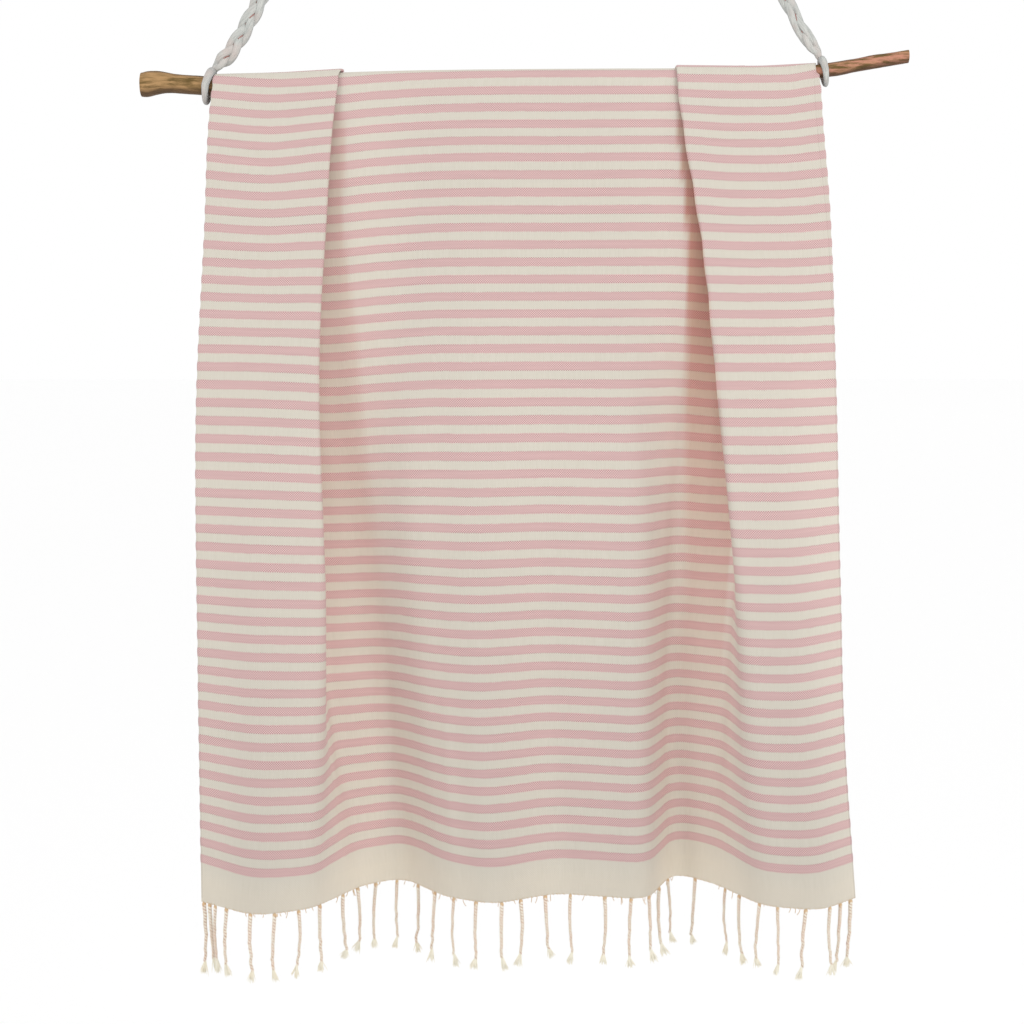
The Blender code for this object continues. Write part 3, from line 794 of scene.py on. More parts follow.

# %% [markdown]
# A cloth never hangs as smoothly as its folds alone: it keeps soft creases from being packed, and a
# slight unevenness all over. Both push the sheet along its own normal by about a millimetre. The
# unevenness is two smooth noises, a broad one and a finer one, and the creases are listed one by
# one, each with its own length, width and depth.

# %% Creases and unevenness
# Mm across and down, where in the noise it is read, and mm that it pushes
WAVES = ((90, 230, 3.1, 0.7), (34, 60, 8.7, 0.25))
CALM = 120  # mm below the stick in which the unevenness grows to its full size
OTHER_SIDE = 500.0  # the back reads the same noise and creases this many mm further across
CREASES = (
    # from place and drop, to place and drop below the stick, half width, depth (+ stands out)
    (742, 120, 747, 690, 7, 1.2),
    (233, 150, 262, 610, 9, -1.0),
    (96, 260, 118, 820, 12, 0.9),
    (520, 420, 505, 900, 16, -1.0),
    (612, 300, 640, 860, 12, 0.9),
    (420, 500, 392, 930, 10, 0.8),
    (880, 330, 868, 900, 12, -0.9),
    (304, 640, 281, 960, 5, 1.3),
    (399, 700, 393, 950, 5, 1.1),
    (713, 290, 740, 640, 6, 0.8),
    (168, 640, 222, 900, 6, -1.2),
)


def unevenness(place, drop):
    """How far the cloth stands off its smooth folds, in millimetres."""
    push = sum(tall * noise.noise(Vector((place / wide, drop / long, at))) for wide, long, at, tall in WAVES)
    push *= min(1.0, drop / CALM)
    for x0, z0, x1, z1, half, depth in CREASES:
        t = (drop - z0) / (z1 - z0)
        if 0 < t < 1:
            middle = x0 + (x1 - x0) * t
            fade = 1 - abs(2 * t - 1) ** 3
            push += depth * fade * math.exp(-(((place - middle) / half) ** 2))
    return push


print("creases:", len(CREASES))

# %% [markdown]
# The stripes aren't level on the folds. The weft sags between the places where the cloth is held, so
# one table says how low it lies, and another where each stripe falls along the length.

# %% Where the stripes lie
# A stripe's number from the top, and the height of its middle above the front hem along the cloth.
# The first rows follow the photograph, and behind the stick the stripes go on evenly.
STRIPE_ROWS = (
    (47.4, 0.0),
    (45, 49.0),
    (30, 363.0),
    (20, 573.0),
    (15, 677.0),
    (5, 879.0),
    (0, 972.0),
    (-41, 1801.0),
    (-43.4, 1850.0),
)
# How many mm lower than level the weft lies at each place across, at each of four levels
LOWERING_LEVELS = (0.0, 0.10, 0.35, 1.0)
LOWERING = (
    (0, 7, 2, -3, -5),
    (70, 12, 8, -2, 0),
    (147, 8, 1, 2, 3),
    (183, 5, 6, 6, 1),
    (275, 11, 13, 10, 0),
    (340, 6, 7, 4, -3),
    (420, 2, 2, -1, 3),
    (560, 0, 1, -1, 1),
    (680, 0, 0, -1, 2),
    (764, 4, 3, 5, -4),
    (835, 6, 0, -1, -1),
    (900, 7, 4, -1, 2),
    (960, 7, 3, -1, 0),
    (1000, 1, -2, -2, 0),
)


def lowering(places, level):
    """How many mm lower than level the weft lies at some places across."""
    columns = [along(LOWERING, places, k + 1) for k in range(len(LOWERING_LEVELS))]
    return np.array([np.interp(level, LOWERING_LEVELS, column) for column in zip(*columns)])


def stripe_number(height):
    """The stripe that lies at a height above the front hem, measured along the cloth."""
    table = np.array(STRIPE_ROWS, float)
    return np.interp(height, table[:, 1], table[:, 0])


print("stripes from", STRIPE_ROWS[-1][0], "to", STRIPE_ROWS[0][0])

# %% [markdown]
# Now the sheet, one row of points after another: up the front, over the stick and down the back.
# Every point keeps its normal and how far along the cloth it lies, because the threads follow the
# cloth and not the world.


# %% The sheet, row by row
def cloth_row(runs, edge, level, angle, hem_z, facing):
    """One row: points, normals, drop below the stick, the stick's height and the reach out from it.

    angle is None where the cloth hangs, and is else how far over the stick the row lies."""
    x, out, heading = fold_line(runs, edge, level, PLACES)
    marks = column_places(runs, level)
    axis = np.interp(PLACES, marks, AXIS)
    base = np.interp(PLACES, marks, BASE)
    reach = base + out
    if angle is None:
        share = (level - LEVEL_AT_STICK) / (1 - LEVEL_AT_STICK)
        z = axis + (hem_z - axis) * share
        points = np.stack([x, facing * reach, z], axis=1)
        normals = np.stack([np.sin(heading), facing * np.cos(heading), 0 * x], axis=1)
        drop = axis - z
    else:
        points = np.stack([x, -reach * math.cos(angle), axis + reach * math.sin(angle)], axis=1)
        outward = np.cos(heading)
        normals = np.stack([np.sin(heading), -outward * math.cos(angle), outward * math.sin(angle)], axis=1)
        drop = 0 * x
    return points, normals, drop, axis, reach


def cloth_grid():
    """Every row of the sheet, from the front hem to the back one: points, normals, heights and drops."""
    rows = []
    rod_low = lowering(PLACES, 0.0)
    for level in np.linspace(1.0, LEVEL_AT_STICK, FRONT_ROWS + 1)[:-1]:
        p, n, drop, _, _ = cloth_row(FRONT_RUNS, FRONT_EDGE, level, None, FRONT_HEM_Z, -1)
        rows.append((p, n, p[:, 2] - FRONT_HEM_Z + lowering(PLACES, level), drop))
    for angle in np.linspace(0.0, math.pi, ARCH_ROWS + 1):
        level = LEVEL_AT_STICK * abs(math.cos(angle))
        runs, edge = (FRONT_RUNS, FRONT_EDGE) if angle <= math.pi / 2 else (BACK_RUNS, BACK_EDGE)
        p, n, drop, axis, reach = cloth_row(runs, edge, level, float(angle), 0.0, -1)
        rows.append((p, n, axis - FRONT_HEM_Z + rod_low + angle * reach, drop))
    over_top = rows[-1][2]
    for level in np.linspace(LEVEL_AT_STICK, 1.0, BACK_ROWS + 1)[1:]:
        p, n, drop, axis, _ = cloth_row(BACK_RUNS, BACK_EDGE, level, None, BACK_HEM_Z, 1)
        share = drop / (axis - BACK_HEM_Z)
        rows.append((p, n, over_top + (CLOTH_LENGTH - over_top) * share, drop))
    return [np.array(column) for column in zip(*rows)]


GRID, NORMALS, HEIGHTS, DROPS = cloth_grid()
ROWS, COLUMNS = GRID.shape[:2]
for row in range(ROWS):
    back = OTHER_SIDE if row > TOP_ROW else 0.0
    for column in range(COLUMNS):
        push = unevenness(PLACES[column] + back, DROPS[row, column])
        GRID[row, column] += NORMALS[row, column] * push
print(f"sheet of {ROWS} by {COLUMNS} points")

# %% [markdown]
# The towel is a flatweave: the ground is undyed cream cotton and the stripes are a dusty pink
# weft. The stripe pattern reads the cloth's own map, whose V counts stripes, so it bends with
# every fold. Threads are about half a millimetre apart, too fine for the picture, so the weave is
# drawn every 2.7 millimetres and fades in and out in patches, as the eye sees it from afar.

# %% Striped cotton finish
CREAM, CREAM_SHADE, PINK, PINK_EDGE = "cac4b8", "c5bfb2", "c4a4a2", "be9b9a"
FULL = (1.0, 1.0, 1.0, 1.0)  # a tint that changes nothing
HEM_TINT = (1.06, 1.04, 1.02, 1.0)  # the hem band has no pink weft beside it, so it is paler
# Cloth deep in a fold isn't as dark as its depth, because light comes through it, and right beside a
# fold's edge only that warm light is left
HOLLOW_TINT, SHADE_TINT = (1.25, 1.24, 1.22, 1.0), (0.80, 0.54, 0.46, 1.0)
LOW_SHADE = 0.90  # painted shade: the lower part gets a little darker towards the hem
LOW_FROM, LOW_TO = -0.6, -1.1  # metres: where that painted shade starts, and where it is full
STRIPE_SHARE = 0.50  # of the repeat that is pink
STRIPE_PITCH = 20.4  # mm from stripe to stripe
STRIPES_FROM, STRIPES_TO = -41.5, 45.5  # only the 87 stripes between the two hem bands are woven
FRONT_HEM, BACK_HEM = (45.2, 46.4), (-41.2, -42.4)  # stripe numbers over which the hem's tint grows
WEAVE = 2.7  # mm between the drawn threads
TOOTH = 0.030  # of a repeat: how far the edge of a stripe steps in and out with the drawn threads
EDGE_SOFT, EDGE_DARK = 0.012, (0.10, 0.01)  # of a repeat: the edge's softness, and its darker border
WANDER, WANDER_SCALE = 0.10, 60.0  # of a repeat that an edge strays, in waves of about 17 mm
WEFT_STREAKS = (14.0, 420.0, 1.0)  # to a metre: streaks of about 70 mm by 2.4 mm
WARP_STREAKS = (640.0, 40.0, 1.0)  # and of about 1.6 mm by 25 mm
PATCHES = 26.0  # to a metre, as the patches in which the weave shows are about 38 mm wide


def cloth_finish():
    """Cream cotton with pink stripes, read from the cloth's map."""
    finish, tree, shader = principled("striped cotton flatweave", 0.9)
    shader.inputs["Sheen Weight"].default_value = 0.12
    shader.inputs["Sheen Roughness"].default_value = 0.6
    cloth_map = node(tree, "ShaderNodeUVMap", uv_map="cloth")
    axes = node(tree, "ShaderNodeSeparateXYZ", {0: cloth_map})
    across = axes.outputs[0]
    down = node(tree, "ShaderNodeMath", {0: axes.outputs[1], 1: STRIPE_PITCH * MM}, operation="MULTIPLY")
    flat_place = node(tree, "ShaderNodeCombineXYZ", {0: across, 1: down})
    # A stripe's edge is a weft thread, so it wanders a little and steps where threads were joined
    waves = {"Vector": flat_place, "Scale": WANDER_SCALE, "Detail": 3.0, "Roughness": 0.7}
    wander = node(tree, "ShaderNodeTexNoise", waves)
    off = node(tree, "ShaderNodeMath", {0: wander, 1: -0.5}, operation="ADD")
    moved = node(tree, "ShaderNodeMath", {0: off, 1: WANDER, 2: axes.outputs[1]}, operation="MULTIPLY_ADD")
    in_repeat = node(tree, "ShaderNodeMath", {0: moved, 1: 0.5, 2: -0.5}, operation="WRAP")
    off_middle = node(tree, "ShaderNodeMath", {0: in_repeat}, operation="ABSOLUTE")
    turns = 2 * math.pi / (WEAVE * MM)
    over_across = node(tree, "ShaderNodeMath", {0: across, 1: turns}, operation="MULTIPLY")
    wave_across = node(tree, "ShaderNodeMath", {0: over_across}, operation="SINE")
    teeth = {0: wave_across, 1: TOOTH, 2: off_middle}
    from_middle = node(tree, "ShaderNodeMath", teeth, operation="MULTIPLY_ADD")
    half = STRIPE_SHARE / 2
    stripe = node(tree, "ShaderNodeMapRange", {0: from_middle, 1: half + EDGE_SOFT, 2: half - EDGE_SOFT})
    border = {0: from_middle, 1: half - EDGE_DARK[0], 2: half - EDGE_DARK[1]}
    edge_near = node(tree, "ShaderNodeMapRange", border)
    below = node(tree, "ShaderNodeMath", {0: axes.outputs[1], 1: STRIPES_TO}, operation="LESS_THAN")
    above = node(tree, "ShaderNodeMath", {0: axes.outputs[1], 1: STRIPES_FROM}, operation="GREATER_THAN")
    woven = node(tree, "ShaderNodeMath", {0: below, 1: above}, operation="MULTIPLY")
    pink_mask = node(tree, "ShaderNodeMath", {0: stripe, 1: woven}, operation="MULTIPLY")
    # Weft streaks are long across and thin down, and warp streaks the other way round
    streak_scale = node(tree, "ShaderNodeMapping", {0: flat_place, "Scale": WEFT_STREAKS})
    streaks = node(tree, "ShaderNodeTexNoise", {"Vector": streak_scale, "Scale": 1.0, "Detail": 2.0})
    warp_scale = node(tree, "ShaderNodeMapping", {0: flat_place, "Scale": WARP_STREAKS})
    warp = node(tree, "ShaderNodeTexNoise", {"Vector": warp_scale, "Scale": 1.0, "Detail": 2.0})
    threads = node(tree, "ShaderNodeMath", {0: streaks, 1: warp}, operation="ADD")
    thread_mask = node(tree, "ShaderNodeMapRange", {0: threads, 1: 0.75, 2: 1.25})
    # The drawn weave: a checker of over and under, strong only in patches
    over_down = node(tree, "ShaderNodeMath", {0: down, 1: turns}, operation="MULTIPLY")
    wave_down = node(tree, "ShaderNodeMath", {0: over_down}, operation="SINE")
    weave = node(tree, "ShaderNodeMath", {0: wave_across, 1: wave_down}, operation="MULTIPLY")
    patches = node(tree, "ShaderNodeTexNoise", {"Vector": flat_place, "Scale": PATCHES, "Detail": 2.0})
    patch_mask = node(tree, "ShaderNodeMapRange", {0: patches, 1: 0.42, 2: 0.62, 3: 0.25})
    weave_seen = node(tree, "ShaderNodeMath", {0: weave, 1: patch_mask}, operation="MULTIPLY")
    cream = node(tree, "ShaderNodeMix", {0: thread_mask, 6: linear(CREAM), 7: linear(CREAM_SHADE)}, **COLOUR)
    pink = node(tree, "ShaderNodeMix", {0: edge_near, 6: linear(PINK), 7: linear(PINK_EDGE)}, **COLOUR)
    dyed = node(tree, "ShaderNodeMix", {0: pink_mask, 6: cream.outputs[2], 7: pink.outputs[2]}, **COLOUR)
    strength = node(tree, "ShaderNodeMapRange", {0: pink_mask, 3: 0.08, 4: 0.50})
    woven_tone = node(tree, "ShaderNodeMath", {0: weave_seen, 1: strength}, operation="MULTIPLY")
    light = node(tree, "ShaderNodeMath", {0: woven_tone, 1: 1.0}, operation="ADD")
    slub = node(tree, "ShaderNodeMapRange", {0: streaks, 1: 0.3, 2: 0.7, 3: 0.965, 4: 1.03})
    worn_tone = node(tree, "ShaderNodeMath", {0: light, 1: slub}, operation="MULTIPLY")
    # Painted shade: the lower part of the cloth is darkened a little, most at the hem
    object_place = node(tree, "ShaderNodeTexCoord").outputs["Object"]
    height = node(tree, "ShaderNodeSeparateXYZ", {0: object_place}).outputs[2]
    lower_shade = node(tree, "ShaderNodeMapRange", {0: height, 1: LOW_FROM, 2: LOW_TO, 3: 1.0, 4: LOW_SHADE})
    tone = node(tree, "ShaderNodeMath", {0: worn_tone, 1: lower_shade}, operation="MULTIPLY")
    toned = node(tree, "ShaderNodeVectorMath", {0: dyed.outputs[2], "Scale": tone}, operation="SCALE")
    hems = [
        node(tree, "ShaderNodeMapRange", {0: axes.outputs[1], 1: start, 2: full})
        for start, full in (FRONT_HEM, BACK_HEM)
    ]
    hem = node(tree, "ShaderNodeMath", {0: hems[0], 1: hems[1]}, operation="MAXIMUM")
    hollow = node(tree, "ShaderNodeAttribute", attribute_name="hollow").outputs["Fac"]
    fold_shade = node(tree, "ShaderNodeAttribute", attribute_name="fold_shade").outputs["Fac"]
    for share, tint in ((hem, HEM_TINT), (hollow, HOLLOW_TINT), (fold_shade, SHADE_TINT)):
        tinted = node(tree, "ShaderNodeMix", {0: share, 6: FULL, 7: tint}, **COLOUR)
        toned = node(tree, "ShaderNodeVectorMath", {0: toned, 1: tinted.outputs[2]}, operation="MULTIPLY")
    tree.links.new(toned.outputs[0], shader.inputs["Base Color"])
    relief = node(tree, "ShaderNodeMath", {0: weave, 1: threads}, operation="ADD")
    bump = node(tree, "ShaderNodeBump", {"Height": relief, "Strength": 0.25, "Distance": 0.15 * MM})
    tree.links.new(bump.outputs[0], shader.inputs["Normal"])
    return finish


striped_cotton = cloth_finish()
print("cloth finish:", striped_cotton.name)

# %% [markdown]
# Thin cotton lets light through, and an opaque sheet doesn't. So the cloth carries two painted
# tones, each one number for every point. The first says how deep a point lies behind the cloth
# beside it, and the finish is brightened there. The second marks a narrow band beside each front
# fold's edge, darker and redder than the rest, which grows wider and fainter down the towel.

# %% Light and shade in the folds
HOLLOW_REACH, HOLLOW_DEPTH = 110.0, 42.0  # mm: how far a fold shelters cloth, and how deep is deep
SHADE_BANDS = (
    # mm below the stick, width of the left band and of the right one in mm, how dark each is
    (15, 1.0, 1.0, 0.0, 0.2),
    (35, 9.0, 4.0, 0.28, 0.5),
    (60, 13.0, 6.0, 0.34, 0.7),
    (104, 16.0, 9.0, 0.34, 0.9),
    (150, 17.0, 12.0, 0.32, 1.0),
    (207, 25.0, 19.0, 0.29, 1.0),
    (276, 38.0, 25.0, 0.26, 0.9),
    (402, 48.0, 36.0, 0.20, 0.60),
    (563, 55.0, 48.0, 0.12, 0.34),
    (700, 60.0, 50.0, 0.04, 0.12),
    (800, 60.0, 50.0, 0.0, 0.0),
)
FOLDS = (
    # mm across the cloth from and to: the fold's edge, its recess; the recess's side; width and dark columns
    ((125, 165), (205, 320), 1, 1, 3),
    ((780, 865), (640, 779), -1, 2, 4),
)
BAND_SOFT, BAND_SPREAD = 1.5, 0.006  # mm: how soft a band's far side is, and how that grows with its width
EDGE_LINE, EDGE_OUT, EDGE_TONE = 1.6, 0.6, 0.7  # the line on a fold's own edge: width, place, how dark


def hollow_shares():
    """For every point, how deep it lies behind the cloth in front of it, from 0 to 1."""
    shares = np.zeros((ROWS, COLUMNS))
    for row in range(ROWS):
        facing = -1.0 if row <= TOP_ROW else 1.0
        x, out = GRID[row, :, 0], facing * GRID[row, :, 1]
        away = np.abs(x[:, None] - x[None, :])
        reach_left = np.clip(1 - away / HOLLOW_REACH, 0.0, 1.0)
        shelter = ((out[None, :] - out[:, None]) * reach_left).max(axis=1)
        shares[row] = np.clip(shelter / HOLLOW_DEPTH, 0.0, 1.0)
    return shares


def band_shares():
    """How dark the cloth is in the narrow band beside the edge of each front fold, from 0 to 1."""
    shares = np.zeros((ROWS, COLUMNS))
    for row in range(FRONT_ROWS):
        x, drop = GRID[row, :, 0], DROPS[row]
        for (fold_start, fold_end), (start, end), toward, width_column, dark_column in FOLDS:
            on_fold = (PLACES >= fold_start) & (PLACES <= fold_end)
            in_recess = (PLACES >= start) & (PLACES <= end)
            edge = toward * (toward * x[on_fold]).max()
            away = toward * (x - edge)
            width, dark = along(SHADE_BANDS, drop, width_column), along(SHADE_BANDS, drop, dark_column)
            soft = BAND_SOFT + BAND_SPREAD * width**2
            band = dark * np.clip((width + soft / 2 - away) / soft, 0.0, 1.0)
            # A thin dark line on the fold's edge itself, where the cloth turns away
            line = EDGE_TONE * dark * np.clip(1 + (away - EDGE_OUT) / EDGE_LINE, 0.0, 1.0)
            shares[row] += np.where(in_recess, band, 0.0)
            shares[row] += np.where(on_fold, line, 0.0)
    return shares


hollows, bands = hollow_shares(), band_shares()
print(f"hollows: {(hollows > 0.5).mean():.0%} of the cloth lies deep in a fold")

# %% [markdown]
# A selvedge isn't straight. The weft turns round the outermost warp ends there, and the pink weft is
# a little thicker, so each pink stripe ends in a small bulge. The sheet's own points are too far
# apart for that, so each selvedge is a narrow strip with six steps to a stripe. At the top right
# the strip reaches up to 5 mm further out than the sheet, where the real cloth is wider.

# %% Selvedges
SELVEDGE = ((-3.0, 0.5), (-1.2, 0.85), (0.0, 0.5))  # mm from the edge, and half thickness there
BULGE, BULGE_STEPS = 0.8, 6
# How far each front selvedge reaches out beyond the sheet: level in mm, left side, right side
SELVEDGE_REACH = (
    (-900, 0.0, 0.0),
    (-460, 0.0, 0.0),
    (-345, 0.0, 1.5),
    (-275, 0.0, 3.8),
    (-215, 0.0, 5.0),
    (-160, 0.0, 4.6),
    (-150, 0.0, 3.0),
)
CLOTH_SMOOTH = 80.0  # degrees


def paint_map(thing, places, numbers):
    """The cloth's map: U is the place across in metres, V the stripe's number."""
    per_point = np.stack([places, numbers], axis=1)
    layer = thing.data.uv_layers.new(name="cloth")
    corner_points = np.zeros(len(thing.data.loops), np.int32)
    thing.data.loops.foreach_get("vertex_index", corner_points)
    layer.data.foreach_set("uv", per_point[corner_points].astype(np.float32).ravel())


def make_selvedge(name, column, inner_column, place):
    """A closed strip along one long side of the cloth, which bulges at every pink stripe."""
    table = np.array(STRIPE_ROWS, float)
    numbers = np.arange(table[0, 0], table[-1, 0], -1 / BULGE_STEPS)
    heights = np.interp(-numbers, -table[:, 0], table[:, 1])
    heights = np.clip(heights, HEIGHTS[0, column], HEIGHTS[-1, column])
    edge, inside, normal = (
        np.stack([np.interp(heights, HEIGHTS[:, at], grid[:, at, axis]) for axis in range(3)], axis=1)
        for grid, at in ((GRID, column), (GRID, inner_column), (NORMALS, column))
    )
    outward = edge - inside
    outward /= np.linalg.norm(outward, axis=1)[:, None]
    woven = (numbers < STRIPES_TO) & (numbers > STRIPES_FROM)
    bulge = BULGE * np.clip(0.5 + 0.9 * np.cos(2 * np.pi * numbers), 0.0, 1.0) * woven
    reach = along(SELVEDGE_REACH, edge[:, 2], 1 if column == 0 else 2)
    bulge += np.where(numbers > 0, reach, 0.0)
    sides = [(out, thick) for out, thick in SELVEDGE] + [(out, -thick) for out, thick in SELVEDGE[::-1]]
    steps_out = [out + bulge if out == 0 else out + 0 * bulge for out, _ in sides]
    rings = [edge + outward * out[:, None] + normal * thick for out, (_, thick) in zip(steps_out, sides)]
    points = np.stack(rings, axis=1).reshape(-1, 3)
    strip = mesh_object(name, points, tube_faces(len(numbers), len(sides)), striped_cotton, CLOTH_SMOOTH)
    sign = -1.0 if column == 0 else 1.0
    places = (place + sign * np.stack(steps_out, axis=1).ravel()) * MM
    paint_map(strip, places, np.repeat(numbers, len(sides)))
    return strip


selvedges = [make_selvedge("left_selvedge", 0, 1, 0.0), make_selvedge("right_selvedge", -1, -2, CLOTH_WIDTH)]
print("selvedges:", *(strip.name for strip in selvedges))

# %% [markdown]
# The towel is the sheet with both its faces and a rim round them, so it is closed like a real
# cloth and throws a shadow from either side. It could be a flat sheet with a Solidify modifier,
# but the rows are there already, so both faces are set off along the normals directly.

# %% The towel
FACE_OFFSET = 0.4  # of the cloth's thickness: the sheet is a little thinner than its solid


def add_tone(thing, label, values):
    """A painted tone: one number for each point of a piece."""
    layer = thing.data.attributes.new(label, "FLOAT", "POINT")
    layer.data.foreach_set("value", values.astype(np.float32))


def make_towel():
    """The sheet with both its faces and a rim, its map and its tones, and the two selvedges."""
    half = CLOTH_THICKNESS * FACE_OFFSET
    outer = (GRID + NORMALS * half).reshape(-1, 3)
    inner = (GRID - NORMALS * half).reshape(-1, 3)
    count = len(outer)
    faces = []
    for row in range(ROWS - 1):
        for column in range(COLUMNS - 1):
            a = row * COLUMNS + column
            faces.append((a, a + 1, a + COLUMNS + 1, a + COLUMNS))
            faces.append(tuple(count + c for c in (a, a + COLUMNS, a + COLUMNS + 1, a + 1)))
    rim = [(0, c) for c in range(COLUMNS - 1)] + [(r, COLUMNS - 1) for r in range(ROWS - 1)]
    rim += [(ROWS - 1, c) for c in range(COLUMNS - 1, 0, -1)] + [(r, 0) for r in range(ROWS - 1, 0, -1)]
    round_rim = [r * COLUMNS + c for r, c in rim]
    for here, after in zip(round_rim, round_rim[1:] + round_rim[:1]):
        faces.append((here, count + here, count + after, after))
    sheet = mesh_object("striped_towel", np.concatenate([outer, inner]), faces, striped_cotton, CLOTH_SMOOTH)
    numbers = stripe_number(HEIGHTS)
    places = np.broadcast_to(PLACES * MM, numbers.shape)
    paint_map(sheet, np.tile(places.ravel(), 2), np.tile(numbers.ravel(), 2))
    add_tone(sheet, "hollow", np.tile(hollows.ravel(), 2))
    add_tone(sheet, "fold_shade", np.tile(bands.ravel(), 2))
    return join("striped_towel", [sheet, *selvedges])


towel = make_towel()
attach(towel, "root")
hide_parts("towel")
print("towel:", 2 * len(towel.data.polygons), "triangles")

# %% [markdown]
# The warp ends hang out of both hems. They were gathered into 34 bundles and twisted, two plies
# round each other with a few tan ends between them, and each is tied off so that its last
# centimetre and a half fans out as a tuft. The tan ends lie in the grooves between the plies, so
# their dark tan is partly their own colour and partly painted shade in the grooves. All are cotton,
# so they share the ropes' finish in other colours: cream plies, tan yarns, pale combed tufts and
# knots that are stained at the hem.

# %% Fringe finishes
ply_cotton = cotton_finish("cream twisted cotton", "efeade", "e2dac9", "e8d9ca")
# The tan yarns lie in the grooves between the plies: their tan is partly their own and partly painted shade
tan_and_groove_shade = cotton_finish("tan warp yarn", "bd9070", "9c6f4f", "b08066")
tuft_cotton = cotton_finish("combed cotton ends", "f0ecdf", "e1dcca", "e8e0cc")
root_cotton = cotton_finish("rust-stained cotton", "d6bf9f", "c09c74", "cfae88")
print("fringe finishes:", *(finish.name for finish in (ply_cotton, tan_and_groove_shade, tuft_cotton, root_cotton)))

# %% [markdown]
# A strand could be modelled once and copied, but then all would be alike. This tree puts a line on
# every root point instead, and the point's own attributes say how it leans and bows, how thick it
# is and where its twist starts. The tree is run once for each ply, with another phase.

# %% Geometry Nodes: one ply of every strand
FRINGE_INPUTS = (
    ("Ply radius", "NodeSocketFloat"),
    ("Ply offset", "NodeSocketFloat"),
    ("Twist length", "NodeSocketFloat"),
    ("Phase", "NodeSocketFloat"),
    ("Points", "NodeSocketInt"),
    ("Sides", "NodeSocketInt"),
    ("Finish", "NodeSocketMaterial"),
)
LEAN_POWER = 1.4  # a strand leans more and more towards its end
WOBBLES, WOBBLE_REACH = 5.0, 0.0036  # waves in a strand, and metres that they stray at its end
TAPER = (1.12, 0.82)  # how thick a strand is at its root and at its end


def strand_lines(tree, given, length):
    """A straight line down from every root, as long as its strand."""
    line = node(tree, "GeometryNodeCurvePrimitiveLine", {"Start": (0.0, 0.0, 0.0), "End": (0.0, 0.0, -1.0)})
    count = {"Curve": line, "Count": given.outputs["Points"]}
    fine = node(tree, "GeometryNodeResampleCurve", count, mode="COUNT")
    size = node(tree, "ShaderNodeCombineXYZ", {0: 1.0, 1: 1.0, 2: length})
    roots = node(tree, "GeometryNodeMeshToPoints", {"Mesh": given.outputs["Geometry"]})
    copies = node(tree, "GeometryNodeInstanceOnPoints", {"Points": roots, "Instance": fine, "Scale": size})
    return node(tree, "GeometryNodeRealizeInstances", {"Geometry": copies})


def strand_sway(tree, t, seed):
    """How far a strand strays from its straight line: it leans, bows and wobbles a little."""
    lean = node(tree, "GeometryNodeInputNamedAttribute", {"Name": "lean"}, data_type="FLOAT_VECTOR")
    bow = node(tree, "GeometryNodeInputNamedAttribute", {"Name": "bow"}, data_type="FLOAT_VECTOR")
    share = node(tree, "ShaderNodeMath", {0: t, 1: LEAN_POWER}, operation="POWER")
    leaned = node(tree, "ShaderNodeVectorMath", {0: lean, "Scale": share}, operation="SCALE")
    half_turn = node(tree, "ShaderNodeMath", {0: t, 1: math.pi}, operation="MULTIPLY")
    arch = node(tree, "ShaderNodeMath", {0: half_turn}, operation="SINE")
    bowed = node(tree, "ShaderNodeVectorMath", {0: bow, "Scale": arch}, operation="SCALE")
    along_it = node(tree, "ShaderNodeMath", {0: t, 1: WOBBLES, 2: seed}, operation="MULTIPLY_ADD")
    waves = {"W": along_it, "Scale": 1.0, "Detail": 1.0}
    rough = node(tree, "ShaderNodeTexNoise", waves, noise_dimensions="1D").outputs["Color"]
    centred = node(tree, "ShaderNodeVectorMath", {0: rough, 1: (0.5, 0.5, 0.5)}, operation="SUBTRACT")
    fade = node(tree, "ShaderNodeMath", {0: t, 1: WOBBLE_REACH}, operation="MULTIPLY")
    wobble = node(tree, "ShaderNodeVectorMath", {0: centred, "Scale": fade}, operation="SCALE")
    curved = node(tree, "ShaderNodeVectorMath", {0: leaned, 1: bowed}, operation="ADD")
    return node(tree, "ShaderNodeVectorMath", {0: curved, 1: wobble}, operation="ADD")


def ply_winding(tree, given, t, length, seed, girth):
    """How far one ply lies out from the strand's middle, as it winds round it."""
    turns = node(tree, "ShaderNodeMath", {0: length, 1: given.outputs["Twist length"]}, operation="DIVIDE")
    wound = node(tree, "ShaderNodeMath", {0: turns, 1: t}, operation="MULTIPLY")
    phased = node(tree, "ShaderNodeMath", {0: wound, 1: given.outputs["Phase"]}, operation="ADD")
    seeded = node(tree, "ShaderNodeMath", {0: phased, 1: seed}, operation="ADD")
    angle = node(tree, "ShaderNodeMath", {0: seeded, 1: 2 * math.pi}, operation="MULTIPLY")
    east = node(tree, "ShaderNodeMath", {0: angle}, operation="COSINE")
    north = node(tree, "ShaderNodeMath", {0: angle}, operation="SINE")
    circle = node(tree, "ShaderNodeCombineXYZ", {0: east, 1: north})
    reach = node(tree, "ShaderNodeMath", {0: girth, 1: given.outputs["Ply offset"]}, operation="MULTIPLY")
    return node(tree, "ShaderNodeVectorMath", {0: circle, "Scale": reach}, operation="SCALE")


